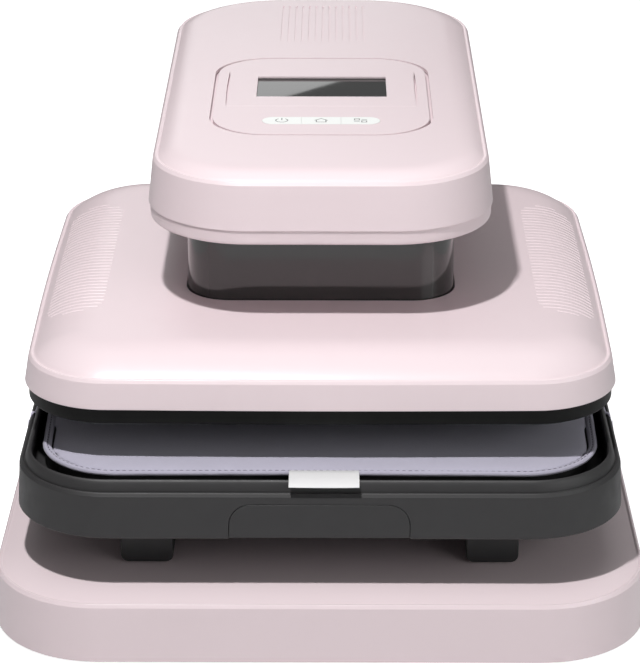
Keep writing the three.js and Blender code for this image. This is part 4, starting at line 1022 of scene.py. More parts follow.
def build_pillar(sizes):
    covers = sizes.covers
    low, high, middle = middle_of("pillar_shell")
    outline = Outline(*half_size("pillar_shell"), covers.pillar_corner)
    wall, gap, corner = 3 * MM, 0.4 * MM, 4 * MM
    shell = tube("pillar_cover", outline, low.z, high.z, wall)
    moved(shell, middle.x, middle.y)
    panel_low, panel_high, panel_middle = middle_of("pillar_rear_cover")
    width, height = (panel_high.x - panel_low.x) / 2, (panel_high.z - panel_low.z) / 2
    front, back = panel_low.y - wall, panel_high.y + wall
    tool = upright_plate("opening", width + gap, height + gap, corner, front, back)
    carve(shell, moved(tool, panel_middle.x, 0, panel_middle.z))
    soften(shell, covers.soft_edge)
    place(shell, "frame", "gloss_pink", "pillar_shell")
    panel = upright_plate("rear_panel", width, height, corner, panel_low.y, panel_high.y)
    moved(panel, panel_middle.x, 0, panel_middle.z)
    depth, drop = 6 * MM, 55 * MM
    vents = slot_row("vents", count=6, pitch=9 * MM, width=3 * MM, run=76 * MM, depth=depth)
    for axis in ("Z", "X"):
        vents.data.transform(Matrix.Rotation(math.pi / 2, 4, axis))
    moved(vents, panel_middle.x, panel_low.y + depth - OVERRUN, panel_high.z - drop)
    outward(vents)
    holes = []
    for node, share in (("mains_inlet", 0.78), ("switch_frame", 0.8)):
        inner_low, inner_high, inner = middle_of(node)
        reach_x = share * (inner_high.x - inner_low.x) / 2
        reach_z = share * (inner_high.z - inner_low.z) / 2
        holes.append(block(
            "hole", (inner.x - reach_x, panel_low.y - OVERRUN, inner.z - reach_z),
            (inner.x + reach_x, panel_high.y + OVERRUN, inner.z + reach_z),
        ))
    carve(panel, vents, *holes)
    soften(panel, covers.soft_edge)
    place(panel, "frame", "gloss_pink", "pillar_rear_cover")
    inset, proud = 7 * MM, 0.3 * MM
    across, up = width - inset, height - inset
    spots = [
        (panel_middle.x + x * across, panel_high.y + proud, panel_middle.z + z * up)
        for x in (-1, 1) for z in (-1, 1)
    ]
    screws("rear_screws", spots, (-math.pi / 2, 0, 0))


def upright_plate(name, half_x, half_z, corner, front, back):
    """Rounded rectangle that stands upright, between two depths."""
    flat = ring(Outline(half_x, half_z, corner), 0, 0, steps=8, side_steps=1)
    return extruded(name, [(p.x, p.y) for p in flat], front, back)


def column_mouth(sizes, gap, bottom, top):
    """Tool for the hole that the lifting column passes through."""
    half_x, half_y = half_size("column_cover")
    mouth = Outline(half_x + gap, half_y + gap, sizes.covers.column_corner + gap)
    tool = rounded_block("mouth", mouth, bottom, top)
    column = middle_of("column_cover")[2]
    return moved(tool, column.x, column.y)


def build_head(sizes):
    covers, head = sizes.covers, sizes.head
    low, high, middle = middle_of("head_lower_shell")
    upper_low, upper_high, upper_middle = middle_of("head_upper_shell")
    half_x, half_y = half_size("head_upper_shell")
    outline = Outline(half_x + head.foot, half_y, head.corner, rear=head.rear_corner)
    # The lower shell's rounded lip and its wall up to the seam
    knots = [
        (head.lip + 1.8 * MM, low.z), (head.lip + 0.7 * MM, low.z + 0.15 * MM),
        (head.lip, low.z + 0.9 * MM), ((head.lip + head.seam) / 2, (low.z + high.z) / 2),
        (head.seam, high.z),
    ]
    outer = smoothed(knots)
    inner = [(inset + covers.wall, height + covers.wall) for inset, height in outer[:-4]]
    inner.append((head.seam + covers.wall, high.z))
    lower = loft("head_bottom", [ring(outline, *level) for level in (*outer, *reversed(inner))])
    moved(lower, middle.x, middle.y)
    bottom, top = low.z - OVERRUN, low.z + 2 * covers.wall
    carve(lower, column_mouth(sizes, head.column_gap, bottom, top), *post_cuts(bottom, top))
    soften(lower, covers.soft_edge)
    place(lower, "frame", "gloss_pink", "head_lower_shell")
    upper = cover(
        "head_top", covers, outline, upper_low.z, upper_high.z, head.rise, head.run, head.draft,
        head.crown_power,
    )
    moved(upper, upper_middle.x, upper_middle.y)
    vents = slot_row(
        "grooves", head.vent_count, head.vent_pitch, head.vent_width, head.vent_length,
        head.vent_depth + OVERRUN,
    )
    vent_middle = upper_high.y - head.vent_margin - head.vent_length / 2
    moved(vents, upper_middle.x, vent_middle, upper_high.z - head.vent_depth)
    opening, place_y = panel_outline(sizes, 0)
    hole = rounded_block("opening", opening, upper_high.z - 2 * covers.wall, upper_high.z + OVERRUN)
    carve(upper, moved(hole, 0, place_y), vents)
    soften(upper, head.vent_width / 5)
    place(upper, "frame", "gloss_pink", "head_upper_shell")


def panel_outline(sizes, inset):
    """Outline of the panel's opening, drawn in, and where its middle is."""
    panel = sizes.panel
    half_x, half_y = half_size("control_bezel")
    inset += panel.flange
    outline = Outline(half_x - inset, half_y - inset, panel.corner + panel.flange - inset)
    return outline, middle_of("control_bezel")[2].y


def lens(name, x, y, width, reach, bottom, top):
    """Tool for a slit along Y that is widest in its middle and runs out at its ends."""
    shares = np.linspace(-1, 1, 33)
    right = [(x + width / 2 * (1 - u * u), y + reach * u) for u in shares]
    left = [(x - width / 2 * (1 - u * u), y + reach * u) for u in shares[-2:0:-1]]
    points = (*right, *left)
    return loft(name, [[Vector((*point, height)) for point in points] for height in (bottom, top)])


def build_panel(sizes):
    covers, panel = sizes.covers, sizes.panel
    low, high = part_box("control_bezel")
    bottom, top = low.z - OVERRUN, high.z + OVERRUN
    outline, place_y = panel_outline(sizes, panel.groove)
    flange, _ = panel_outline(sizes, -panel.flange)
    step = low.z + panel.flange_thickness
    levels = ((flange, low.z), (flange, step), (outline, step), (outline, high.z))
    skin = moved(loft("control_panel", [ring(one, 0, z) for one, z in levels]), 0, place_y)
    glass_low, glass_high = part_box("display_window")

    def glass_block(name, grow, block_top):
        return block(
            name, (glass_low.x - grow, glass_low.y - grow, bottom),
            (glass_high.x + grow, glass_high.y + grow, block_top),
        )

    bed = 0.3 * MM
    window = glass_block("window", -panel.margin, top)
    pocket = glass_block("pocket", bed, glass_high.z + bed)
    keys_low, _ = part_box("key_power")
    _, keys_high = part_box("key_mode")
    half_x, half_y = (keys_high.x - keys_low.x) / 2 + bed, (keys_high.y - keys_low.y) / 2 + bed
    strip = rounded_block("strip", Outline(half_x, half_y, half_y - bed / 10), bottom, top)
    moved(strip, (keys_low.x + keys_high.x) / 2, (keys_low.y + keys_high.y) / 2)
    # The panel's front edge is one flange width behind the bezel's
    field_y = low.y + panel.flange + panel.inlay_middle
    half_x, half_y = panel.inlay_width / 2, panel.inlay_length / 2
    slit_x, slit_bottom = half_x + panel.slit / 2, high.z - panel.slit_depth
    slits = [
        lens("slit", side * slit_x, field_y, panel.slit, half_y, slit_bottom, top) for side in (-1, 1)
    ]
    sunk, proud, field_edge, glass_edge = 0.5 * MM, 0.1 * MM, 0.08 * MM, 0.25 * MM
    field = block(
        "field", (-half_x, field_y - half_y, high.z - sunk), (half_x, field_y + half_y, high.z + proud)
    )
    carve(skin, window, pocket, strip)
    carve(field, glass_block("window", -panel.margin, top))
    soften(skin, covers.soft_edge)
    carve(skin, *slits)
    soften(field, field_edge, 1)
    joined(skin, field)
    place(skin, "frame", "gloss_pink", "control_bezel")
    slab = block("display_glass", glass_low, glass_high)
    soften(slab, glass_edge)
    place(slab, "frame", "window_glass", "display_window")


def open_ring(radius, gap, steps=40):
    """Ring with a gap at its top, whose half is given as an angle."""
    turns = np.linspace(gap, 2 * math.pi - gap, steps)
    return [(radius * math.sin(turn), radius * math.cos(turn)) for turn in turns]


# Lines of each icon in shares of its size, and whether a line closes on itself
ICON_PATHS = {
    "power": [
        (open_ring(0.5, 0.6), False),
        ([(0, 0.08), (0, 0.62)], False),
    ],
    "home": [
        ([(-0.55, 0.02), (0, 0.5), (0.55, 0.02)], False),
        ([(-0.4, 0.1), (-0.4, -0.45), (0.4, -0.45), (0.4, 0.1)], False),
    ],
    "mode": [
        ([(-0.5, 0.08), (-0.5, 0.48), (-0.1, 0.48), (-0.1, 0.08)], True),
        ([(0.1, -0.48), (0.1, -0.08), (0.5, -0.08), (0.5, -0.48)], True),
        ([(0.08, 0.28), (0.54, 0.28)], False),
        ([(-0.54, -0.28), (-0.08, -0.28)], False),
    ],
}


def ribbon(points, width, closed):
    """Flat line of one width along a path in X and Y."""
    path = np.array(points, float)
    if closed:
        ahead, behind = np.roll(path, -1, 0), np.roll(path, 1, 0)
    else:
        ahead = np.vstack([path[1:], 2 * path[-1:] - path[-2:-1]])
        behind = np.vstack([2 * path[:1] - path[1:2], path[:-1]])
    into, out = path - behind, ahead - path
    into /= np.linalg.norm(into, axis=1)[:, None]
    out /= np.linalg.norm(out, axis=1)[:, None]
    mean = into + out
    mean /= np.linalg.norm(mean, axis=1)[:, None]
    side = np.stack([-mean[:, 1], mean[:, 0]], 1)
    reach = width / 2 / np.maximum((mean * out).sum(1), 0.5)
    left, right = path + side * reach[:, None], path - side * reach[:, None]
    count = len(path)
    faces = [
        (i, count + i, count + (i + 1) % count, (i + 1) % count)
        for i in range(count if closed else count - 1)
    ]
    return [(*p, 0.0) for p in (*left, *right)], faces


def build_keys(sizes):
    panel = sizes.panel
    # The outer keys are round at one end
    ends = {"power": -1, "home": 0, "mode": 1}
    for name, end in ends.items():
        low, high, middle = middle_of(f"key_{name}")
        points = []
        radius = (high.y - low.y) / 2 + panel.key_grow
        left, right = low.x - panel.key_grow, high.x + panel.key_grow
        for side in (1, -1):
            edge = right if side > 0 else left
            if end == side:
                for turn in np.linspace(-math.pi / 2, math.pi / 2, 25):
                    points.append((
                        edge - side * radius + side * radius * math.cos(turn),
                        middle.y + side * radius * math.sin(turn),
                    ))
            else:
                points += [(edge, middle.y - side * radius), (edge, middle.y + side * radius)]
        count = len(points)
        verts = [(x, y, z) for z in (low.z, high.z) for x, y in points]
        faces = [(i, (i + 1) % count, count + (i + 1) % count, count + i) for i in range(count)]
        faces += [tuple(reversed(range(count))), tuple(range(count, 2 * count))]
        cap = new_object(f"key_cap_{name}", verts, faces)
        outward(cap)
        soften(cap, panel.key_edge, 2)
        body = f"{name}_key"
        place(cap, body, "key_white", f"key_{name}")
        icon = None
        for path, closed in ICON_PATHS[name]:
            scaled = [(middle.x + x * panel.icon, middle.y + y * panel.icon) for x, y in path]
            verts, faces = ribbon(scaled, panel.stroke, closed)
            part = new_object(f"icon_{name}", verts, faces)
            thickened(part, panel.print_thickness)
            icon = joined(icon, part) if icon else part
        moved(icon, 0, 0, high.z + panel.print_thickness / 4)
        place(icon, body, "icon_print")


def build_plate(sizes):
    covers, plate = sizes.covers, sizes.plate
    low, high, middle = middle_of("plate_cover")
    half_x, half_y = half_size("plate_cover")
    half_x, half_y = half_x - plate.bow, half_y - plate.bow
    outline = Outline(half_x, half_y, plate.corner, plate.bow, plate.rear_corner)
    shell = cover(
        "plate_top", covers, outline, low.z, high.z, plate.rise, plate.run, plate.draft,
        plate.crown_power,
    )
    moved(shell, middle.x, middle.y)
    carve(shell, column_mouth(sizes, plate.column_gap, high.z - plate.rise, high.z + OVERRUN))
    soften(shell, covers.soft_edge)
    place(shell, "lift", "gloss_pink", "plate_cover")
    ribs = None
    ray_start = high.z + 0.1
    for side in (-1, 1):
        part = new_object("cover_ribs", [], [])
        values = {
            "Cover": shell, "Count": plate.rib_count, "Pitch": plate.rib_pitch,
            "Length": plate.rib_length, "Radius": plate.rib_radius, "Proud": plate.rib_proud,
            "Corner": plate.rib_corner, "Draw": plate.rib_draw,
            "Material": bpy.data.materials["gloss_pink"],
            "Middle": (middle.x + side * plate.rib_across, middle.y + plate.rib_front, ray_start),
        }
        grown(part, named_tree("Cover ribs", rib_tree), values)
        ribs = joined(ribs, part) if ribs else part
    place(ribs, "lift", "gloss_pink", degrees=60)
    build_skirt(outline, middle)


def build_skirt(outline, middle):
    """Black edge under the plate's cover, round the platen."""
    low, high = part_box("plate_skirt")
    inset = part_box("plate_cover")[1].x - high.x
    gap, round_over = 0.5 * MM, 1.6 * MM
    inner = outline.half_x - half_size("platen")[0] - gap
    outer = [
        (inset + round_over - round_over * math.sin(t), low.z + round_over - round_over * math.cos(t))
        for t in np.linspace(0, math.pi / 2, 6)
    ]
    straight = outline._replace(bow=0.0)
    rings = [ring(outline, *level) for level in (*outer, (inset, high.z))]
    rings += [ring(straight, inner, high.z), ring(straight, inner, low.z)]
    skirt = moved(loft("plate_edge", rings, looped=True), middle.x, middle.y)
    place(skirt, "lift", "moulded_black", "plate_skirt")


def build_column(sizes):
    covers = sizes.covers
    low, high, middle = middle_of("column_cover")
    outline = Outline(*half_size("column_cover"), covers.column_corner)
    column = moved(tube("column", outline, low.z, high.z, covers.wall), middle.x, middle.y)
    soften(column, covers.soft_edge)
    place(column, "lift", "smoked_shell", "column_cover")


def front_panel_outline(sizes, low, high, grow):
    """Outline in X and Z of the tray's front panel: round above, straight below."""
    half = (high.x - low.x) / 2 + grow
    radius = sizes.tray.panel_corner + grow
    centre_z = high.z + grow - radius
    points = [(-half, low.z - OVERRUN), (half, low.z - OVERRUN)]
    for side, start in ((1, 0), (-1, math.pi / 2)):
        for turn in np.linspace(start, start + math.pi / 2, 13):
            points.append((
                side * (half - radius) + radius * math.cos(turn), centre_z + radius * math.sin(turn),
            ))
    return points


def leaned(obj, slope, foot):
    """Leans a piece back like the wall that it lies in."""
    for vertex in obj.data.vertices:
        vertex.co.y += slope * (vertex.co.z - foot)
    return obj


def build_tray(sizes):
    covers, tray = sizes.covers, sizes.tray
    low, high, middle = middle_of("tray_shell")
    outline = Outline(*half_size("tray_shell"), tray.corner)
    ridge, floor = high.z - tray.rise, high.z - tray.recess
    knots = cover_knots(covers, low.z, ridge - low.z, tray.rise, tray.rim - tray.rim_round)
    slope = covers.draft / (ridge - covers.bead_rise - low.z)
    knots[0] = (slope * tray.lip, low.z + tray.lip)
    # The rim's round inner edge, and the recess's wall down to its floor
    knots += [
        (tray.rim - 0.3 * tray.rim_round, high.z - 0.25 * tray.rim_round),
        (tray.rim, high.z - tray.rim_round), (tray.rim + 0.2 * MM, high.z - 3 * MM),
    ]
    levels = [(tray.wall, floor - tray.deck), (tray.wall, low.z), (tray.lip, low.z)]
    levels += smoothed(knots, 4)
    levels += [(tray.rim + 0.4 * MM, floor + 1.2 * MM), (tray.rim + 1.6 * MM, floor)]
    shell = moved(loft("tray", [ring(outline, *level) for level in levels]), middle.x, middle.y)
    panel_low, panel_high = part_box("tray_front_panel")
    opening = front_panel_outline(sizes, panel_low, panel_high, tray.panel_gap)
    back = low.y + tray.panel_thickness
    pocket = extruded("pocket", opening, low.y - OVERRUN, back + tray.panel_gap)
    carve(shell, leaned(pocket, slope, low.z))
    soften(shell, tray.edge, 2, 50)
    place(shell, "tray", "moulded_grey", "tray_shell")
    points = front_panel_outline(sizes, panel_low, panel_high, 0)
    points[:2] = [(x, low.z + tray.lip) for x, _ in points[:2]]
    panel = leaned(extruded("tray_panel", points, low.y, back), slope, low.z)
    soften(panel, tray.panel_edge, 3)
    place(panel, "tray", "moulded_grey", "tray_front_panel")
    for side, _ in SIDES:
        build_runner(sizes, side)


def build_runner(sizes, side):
    tray = sizes.tray
    low, high, middle = middle_of(f"runner_housing_{side}")
    half = (high.x - low.x) / 2
    wall, edge = 2.5 * MM, 0.8 * MM

    def outline(inset, top):
        radius = tray.runner_corner - inset
        points = [(half - inset, top), (inset - half, top)]
        for end, start in ((-1, math.pi), (1, 1.5 * math.pi)):
            for turn in np.linspace(start, start + math.pi / 2, 9):
                points.append((
                    end * (half - tray.runner_corner) + radius * math.cos(turn),
                    low.z + tray.runner_corner + radius * math.sin(turn),
                ))
        return points

    housing = extruded(f"runner_{side}", outline(0, high.z), low.y, high.y)
    back = high.y + OVERRUN
    inner = extruded("inner", outline(wall, high.z + OVERRUN), low.y + wall, back)
    slot = block(
        "slot", (-tray.runner_slot / 2, low.y + 2 * wall, low.z - OVERRUN),
        (tray.runner_slot / 2, back, low.z + 2 * wall),
    )
    carve(housing, inner, slot)
    moved(housing, middle.x)
    soften(housing, edge, 3, 60)
    place(housing, "tray", "runner_black", f"runner_housing_{side}")


def puffed(obj, sizes):
    """Swells a closed mesh as a stuffed pad, by a short cloth simulation with an even pressure."""
    mat = sizes.mat
    even = obj.modifiers.new("Even mesh", "REMESH")
    even.mode, even.voxel_size = "VOXEL", mat.voxel
    bake(obj)
    before = np.array([v.co for v in obj.data.vertices])
    cloth = obj.modifiers.new("Padding", "CLOTH")
    settings, last_frame = cloth.settings, 20
    settings.quality, settings.mass = 5, 0.3
    settings.use_pressure, settings.uniform_pressure_force = True, 4.0
    settings.effector_weights.gravity = 0.0
    cloth.point_cache.frame_start, cloth.point_cache.frame_end = 1, last_frame
    scene = bpy.context.scene
    for number in range(1, last_frame + 1):
        scene.frame_set(number)
    shown = obj.evaluated_get(bpy.context.evaluated_depsgraph_get())
    after = np.array([v.co for v in shown.data.vertices])
    obj.modifiers.remove(cloth)
    scene.frame_set(1)
    shift = after - before
    reach = np.linalg.norm(shift, axis=1)[:, None]
    # No point moves further than the most swelling
    shift *= np.minimum(1, mat.puff / np.maximum(reach, 1e-9))
    obj.data.vertices.foreach_set("co", (before + shift).astype(np.float32).ravel())
    return obj


def build_mat(sizes):
    mat = sizes.mat
    low, high, middle = middle_of("heat_mat")
    thick = high.z - low.z
    outline = Outline(*half_size("heat_mat"), mat.corner, mat.bow, end_bow=-mat.draw_in)
    core_inset = mat.seam + 0.8 * MM
    seam_height = low.z + SEAM_SHARE * thick
    bottom, top = low.z + 0.6 * thick, high.z - mat.puff
    # The pad's flat underside, its side under the rolled edge, and its crown
    levels = [
        (mat.base_and_shade_inset, bottom), (core_inset + 1 * MM, bottom + 0.8 * MM),
        (core_inset, seam_height - 2 * MM), (core_inset + 1 * MM, top - 1 * MM),
        (core_inset + 5 * MM, top - 0.3 * MM), (40 * MM, top),
    ]
    pad = loft("mat_pad", [ring(outline, *level) for level in levels])
    moved(pad, middle.x, middle.y)
    puffed(pad, sizes)
    finer = pad.modifiers.new("Finer mesh", "SUBSURF")
    finer.levels = finer.render_levels = 1
    bake(pad)
    shape_pad(pad, mat, outline, middle, bottom, high.z, seam_height)
    place(pad, "tray", "felt", "heat_mat", degrees=180)
    # Dark rubber base under the felt: partly a real dark foam base, partly painted shade that stands
    # in for the deep shade in the gap under the rolled edge
    levels = [(mat.base_and_shade_inset, low.z), (mat.base_and_shade_inset, bottom + 2 * MM)]
    base = moved(loft("mat_base", [ring(outline, *level) for level in levels]), middle.x, middle.y)
    place(base, "tray", "soft_rubber")
    build_mat_edge(mat, outline, middle, seam_height)


def shape_pad(pad, mat, outline, middle, bottom, top, seam_height):
    """Draws the pad down to its seam, keeps it flat below and adds soft unevenness above."""
    places = np.array([v.co for v in pad.data.vertices])
    straight = (outline.half_x - outline.corner, outline.half_y - outline.corner)
    reach = np.abs(places[:, :2] - (middle.x, middle.y)) - straight
    corner = np.linalg.norm(np.maximum(reach, 0), axis=1) + np.minimum(reach.max(1), 0)
    inset = outline.corner - corner
    crown_run, below, over = 14 * MM, 0.3 * MM, 0.1 * MM
    share = np.clip((inset - mat.seam) / crown_run, 0, 1)
    limit = seam_height + (top - seam_height) * (1 - (1 - share) ** 3)
    above = places[:, 2] > (bottom + top) / 2
    for i in np.nonzero(above)[0]:
        x, y, z = places[i]
        wave = noise.noise(Vector((x * 16, y * 16, 3.1)))
        wave += 0.5 * noise.noise(Vector((x * 45, y * 45, 7.7)))
        places[i, 2] = min(z, limit[i] - below) + mat.wave * wave * share[i]
    places[:, 2] = np.clip(places[:, 2], bottom, top + over)
    pad.data.vertices.foreach_set("co", places.astype(np.float32).ravel())


def build_mat_edge(mat, outline, middle, seam_height):
    """Rolled edge of the mat and the stitches of its seam."""
    # Inset and height over the seam in millimetres, round the roll and down into the seam
    turns = [
        (6.5, -3.6), (2.8, -3.2), (1.4, -2.5), (0.8, -1.4), (1.1, -0.4), (1.9, 0.3), (2.8, 0.45),
        (3.4, 0.2), (3.8, -0.25), (4.3, -0.1), (5.2, -0.3), (6.5, -1.2),
    ]
    section = smoothed([(inset * MM, seam_height + up * MM) for inset, up in turns], 3)
    steps = {"steps": 28, "side_steps": 60}
    rings = [ring(outline, inset, height, **steps) for inset, height in section]
    count = len(rings[0])
    for row, points in enumerate(rings):
        for i, point in enumerate(points):
            aside = Vector((point.x / outline.half_x, point.y / outline.half_y, 0))
            wave = noise.noise(Vector((point.x * 40, point.y * 40, row * 0.12)))
            fold = noise.noise(Vector((point.x * 150, point.y * 150, row * 0.3)))
            push = mat.wave * (0.8 * wave + 0.35 * fold)
            points[i] = point - aside * abs(push) + Vector((0, 0, push * 0.8))
    roll = moved(loft("mat_edge", rings, looped=True), middle.x, middle.y)
    place(roll, "tray", "felt", degrees=180)
    line = ring(outline, mat.seam + 0.1 * MM, seam_height + 0.05 * MM, **steps)
    edges = [(i, (i + 1) % count) for i in range(count)]
    seam = new_object("mat_stitches", line, [], edges)
    values = {
        "Pitch": mat.stitch_pitch, "Length": mat.stitch_length, "Thickness": mat.stitch_width,
        "Material": bpy.data.materials["mat_thread"],
    }
    grown(seam, named_tree("Stitches", stitch_tree), values)
    moved(seam, middle.x, middle.y)
    place(seam, "tray", "mat_thread")


def build_tag(sizes):
    """Tape folded over and sewn into the seam, which lies over the tray's rim."""
    mat = sizes.mat
    low, high, middle = middle_of("mat_tag")
    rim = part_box("tray_shell")[1].z
    mat_low, mat_high, _ = middle_of("heat_mat")
    sewn_y, sewn_z = mat.seam - 0.4 * MM, mat_low.z + SEAM_SHARE * (mat_high.z - mat_low.z)
    # Upper layer, from the seam over the rim to the fold
    upper = smoothed([
        (mat_low.y + sewn_y, sewn_z + 0.6 * MM), (mat_low.y + 0.5 * MM, sewn_z + 1.3 * MM),
        (mat_low.y - 7 * MM, rim + 0.3 * MM), (mat_low.y - 15 * MM, rim + 1.1 * MM),
        (low.y + 7 * MM, rim + 1.2 * MM), (low.y + 2.6 * MM, rim + 0.5 * MM),
        (low.y + 0.45 * MM, rim - 0.4 * MM),
    ], 5)
    apart, fold_drop, corner_lift = 0.45 * MM, 0.9 * MM, 0.25 * MM
    lower = [(y + 0.1 * MM, z - apart) for y, z in reversed(upper)][1:-3]
    path = [*upper, (low.y, rim - fold_drop), *lower]
    across = 24
    half = (high.x - low.x) / 2
    verts, faces = [], []
    for y, z in path:
        for i in range(across + 1):
            share = 2 * i / across - 1
            toward_fold = max(0, min(1, (high.y - y) / (high.y - low.y)))
            lift = corner_lift * share * share * toward_fold
            verts.append((middle.x + share * half, y, z + lift))
    for row in range(len(path) - 1):
        for i in range(across):
            a = row * (across + 1) + i
            faces.append((a, a + across + 1, a + across + 2, a + 1))
    tape = new_object("mat_tape", verts, faces)
    thickened(tape, mat.tape)
    place(tape, "tray", "woven_tape", "mat_tag", degrees=60)


def build_straps(sizes):
    """Elastic bands from the mat's sides over the rim, down the wall and round its lower edge."""
    shell = bpy.data.objects["tray"]
    for end_name, end in ENDS:
        for side_name, side in SIDES:
            node = f"mat_strap_{end_name}_{side_name}"
            path = strap_path(sizes, shell, *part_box(node), end, side)
            along = np.gradient(path, axis=0)
            above = np.stack([-along[:, 2] * side, 0 * along[:, 1], along[:, 0] * side], 1)
            across = np.cross(above, along)
            across *= sizes.mat.strap_width / 2 / np.linalg.norm(across, axis=1)[:, None]
            count = len(path)
            faces = [(i, i + 1, count + i + 1, count + i) for i in range(count - 1)]
            points = [*(path - across), *(path + across)]
            strap = new_object(f"{end_name}_{side_name}_strap", points, faces)
            thickened(strap, sizes.mat.strap_thickness)
            outward(strap)
            place(strap, "tray", "elastic", node, degrees=60)


def strap_path(sizes, shell, low, high, end, side):
    """Middle line of a strap that lies on the tray's shell, in the box of its node."""
    tray, clear = sizes.tray, sizes.mat.strap_thickness
    tray_low, tray_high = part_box("tray_shell")
    mat_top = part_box("heat_mat")[1].z
    inner, outer = sorted((abs(low.x), abs(high.x)))
    start_y = high.y if end < 0 else low.y
    tucked_in, tucked_down, margin, hook = 1.5 * MM, 3.5 * MM, 1.5 * MM, 5 * MM

    def at(x):
        return start_y + end * (high.y - low.y) * (x - inner) / (outer - inner)

    path = [(side * (inner - tucked_in), start_y, mat_top - tucked_down)]
    for x in np.linspace(tray_high.x - tray.rim + 0.8 * MM, tray_high.x - 1.2 * MM, 9):
        _, found, _, _ = shell.ray_cast((side * x, at(x), 1), (0, 0, -1))
        path.append((side * x, at(x), found.z + clear))
    for z in np.linspace(tray_high.z - tray.rise - margin, tray_low.z + margin, 7):
        _, found, _, _ = shell.ray_cast((side, at(outer), z), (-side, 0, 0))
        path.append((found.x + side * clear, at(outer), z))
    foot, under = abs(found.x), tray_low.z - clear
    path.append((side * (foot - clear), at(outer), under))
    path.append((side * (foot - hook), at(outer), under))
    return np.array(path)


def dress_carried():
    """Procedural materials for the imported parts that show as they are."""
    finishes = {slot: name for name, slot in reversed(SLOTS.items())}
    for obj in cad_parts.values():
        for used in obj.material_slots:
            used.material = bpy.data.materials[finishes[used.material.name]]


def aim(obj, place_at, target):
    obj.location = place_at
    obj.rotation_euler = (Vector(target) - Vector(place_at)).to_track_quat("-Z", "Y").to_euler()


def softbox(name, place_at, target, width, height, power, tint=(1, 1, 1)):
    light = bpy.data.lights.new(name, "AREA")
    light.shape, light.size, light.size_y = "RECTANGLE", width, height
    light.energy, light.color = power, tint
    lamp = bpy.data.objects.new(name, light)
    bpy.context.scene.collection.objects.link(lamp)
    aim(lamp, place_at, target)
    return lamp


def build_stage(sizes):
    studio = sizes.studio
    scene = bpy.context.scene
    reach = 9.0
    corners = [(x * reach, y * reach, 0) for x, y in ((-1, -1), (1, -1), (1, 1), (-1, 1))]
    floor = new_object("studio_floor", corners, [(0, 1, 2, 3)])
    material = finish("studio_floor", "mould", 60.0, sizes.colours.floor, 0.004, (0.8, 0.9), 0.00001)
    seen = add_node(material.node_tree, "ShaderNodeLightPath").outputs["Is Camera Ray"]
    glow = mixed(material.node_tree, seen, (0, 0, 0, 1), (studio.floor_glow,) * 3 + (1,))
    surface = material.node_tree.nodes["Principled BSDF"]
    surface.inputs["Emission Strength"].default_value = 1.0
    material.node_tree.links.new(glow, surface.inputs["Emission Color"])
    floor.data.materials.append(material)
    camera = bpy.data.objects.new("camera", bpy.data.cameras.new("camera"))
    scene.collection.objects.link(camera)
    camera.data.lens, camera.data.sensor_width = studio.lens, 36
    camera.location = (studio.camera_x, studio.camera_y, studio.camera_z)
    camera.rotation_euler = (math.pi / 2 - studio.camera_down, 0, studio.camera_turn)
    scene.camera = camera
    lamp = bpy.data.lights.new("key", "POINT")
    lamp.energy, lamp.shadow_soft_size = studio.key_light, studio.key_size
    key = bpy.data.objects.new("key", lamp)
    scene.collection.objects.link(key)
    key.location = (studio.key_x, studio.key_y, studio.key_z)
    softbox("overhead", (0.1, 0.5, 2.0), (0, 0, 0.2), 1.6, 0.7, studio.overhead_light)
    softbox("front_fill", (1.9, -1.9, 1.2), (0, 0, 0.15), 1.6, 1.0, studio.front_light)
    softbox("right_strip", (1.2, -0.7, 0.6), (0, -0.1, 0.2), 0.2, 0.9, 1.0, (0.86, 1.0, 0.94))
    # Its upper edge falls across the display's glass as a slanting reflection
    window_panel = softbox("window_panel", (-0.114, 1.2, 0.529), (-0.114, 0, 0.529), 0.5, 0.3, 0.6)
    window_panel.rotation_euler.rotate_axis("Z", math.radians(21.1))
    world = bpy.data.worlds.new("even_light")
    world.use_nodes = True
    background = world.node_tree.nodes["Background"]
    background.inputs["Color"].default_value = (1, 1, 1, 1)
    background.inputs["Strength"].default_value = studio.sky_light
    scene.world = world
    scene.view_settings.view_transform = "Standard"


# One operator for each piece or group of like pieces


class HEATPRESS_OT_finishes(Operator):
    """Makes the materials of every piece"""

    bl_idname = "heat_press.finishes"
    bl_label = "Materials"

    def execute(self, context):
        build_finishes(context.scene.heat_press)
        return {"FINISHED"}


class HEATPRESS_OT_base(Operator):
    """Makes the base's cover, its rubber feet and the screws of its floor"""

    bl_idname = "heat_press.base"
    bl_label = "Base"

    def execute(self, context):
        build_base(context.scene.heat_press)
        return {"FINISHED"}


class HEATPRESS_OT_pillar(Operator):
    """Makes the rear pillar and its vented rear panel"""

    bl_idname = "heat_press.pillar"
    bl_label = "Pillar"

    def execute(self, context):
        build_pillar(context.scene.heat_press)
        return {"FINISHED"}


class HEATPRESS_OT_head(Operator):
    """Makes the head's two shells"""

    bl_idname = "heat_press.head"
    bl_label = "Head"

    def execute(self, context):
        build_head(context.scene.heat_press)
        return {"FINISHED"}


class HEATPRESS_OT_panel(Operator):
    """Makes the control panel and the display's glass"""

    bl_idname = "heat_press.panel"
    bl_label = "Control panel"

    def execute(self, context):
        build_panel(context.scene.heat_press)
        return {"FINISHED"}


class HEATPRESS_OT_keys(Operator):
    """Makes the three keys and their icons"""

    bl_idname = "heat_press.keys"
    bl_label = "Keys"

    def execute(self, context):
        build_keys(context.scene.heat_press)
        return {"FINISHED"}


class HEATPRESS_OT_plate(Operator):
    """Makes the heating plate's cover, its ribs and its black edge"""

    bl_idname = "heat_press.plate"
    bl_label = "Heating plate"

    def execute(self, context):
        build_plate(context.scene.heat_press)
        return {"FINISHED"}


class HEATPRESS_OT_column(Operator):
    """Makes the glossy lifting column"""

    bl_idname = "heat_press.column"
    bl_label = "Column"

    def execute(self, context):
        build_column(context.scene.heat_press)
        return {"FINISHED"}


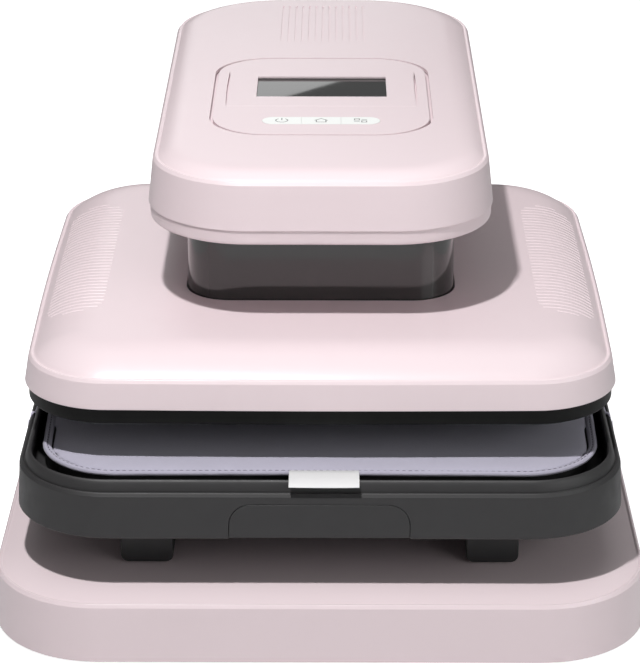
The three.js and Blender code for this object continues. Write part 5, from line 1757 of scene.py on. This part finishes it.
class HEATPRESS_OT_tray(Operator):
    """Makes the sliding tray, its front panel and its runners"""

    bl_idname = "heat_press.tray"
    bl_label = "Tray"

    def execute(self, context):
        build_tray(context.scene.heat_press)
        return {"FINISHED"}


class HEATPRESS_OT_mat(Operator):
    """Makes the padded mat with its rolled edge and stitches"""

    bl_idname = "heat_press.mat"
    bl_label = "Mat"

    def execute(self, context):
        build_mat(context.scene.heat_press)
        return {"FINISHED"}


class HEATPRESS_OT_tag(Operator):
    """Makes the straps over the tray and the folded tape on the mat's front"""

    bl_idname = "heat_press.tag"
    bl_label = "Tape"

    def execute(self, context):
        build_straps(context.scene.heat_press)
        build_tag(context.scene.heat_press)
        return {"FINISHED"}


class HEATPRESS_OT_carried(Operator):
    """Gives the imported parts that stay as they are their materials"""

    bl_idname = "heat_press.carried"
    bl_label = "Carried parts"

    def execute(self, context):
        dress_carried()
        return {"FINISHED"}


class HEATPRESS_OT_stage(Operator):
    """Makes the floor, the lights and the camera"""

    bl_idname = "heat_press.stage"
    bl_label = "Studio"

    def execute(self, context):
        build_stage(context.scene.heat_press)
        return {"FINISHED"}


OPERATORS = (
    HEATPRESS_OT_finishes, HEATPRESS_OT_base, HEATPRESS_OT_pillar, HEATPRESS_OT_head,
    HEATPRESS_OT_panel, HEATPRESS_OT_keys, HEATPRESS_OT_plate, HEATPRESS_OT_column,
    HEATPRESS_OT_tray, HEATPRESS_OT_mat, HEATPRESS_OT_tag, HEATPRESS_OT_carried, HEATPRESS_OT_stage,
)


class HEATPRESS_PT_pieces(Panel):
    """Lists the pieces of the heat press"""

    bl_idname = "HEATPRESS_PT_pieces"
    bl_label = "Heat press"
    bl_space_type = "VIEW_3D"
    bl_region_type = "UI"
    bl_category = "Heat press"

    def draw(self, context):
        for operator in OPERATORS:
            self.layout.operator(operator.bl_idname)


CLASSES = (
    CoverSizes, HeadSizes, PanelSizes, PlateSizes, TraySizes, MatSizes, Colours, Studio, HeatPress,
    *OPERATORS, HEATPRESS_PT_pieces,
)


def register():
    for one in CLASSES:
        bpy.utils.register_class(one)
    bpy.types.Scene.heat_press = PointerProperty(type=HeatPress)


def unregister():
    del bpy.types.Scene.heat_press
    for one in reversed(CLASSES):
        bpy.utils.unregister_class(one)


def main():
    register()
    for operator in OPERATORS:
        group, name = operator.bl_idname.split(".")
        getattr(getattr(bpy.ops, group), name)()


if __name__ == "__main__":
    main()
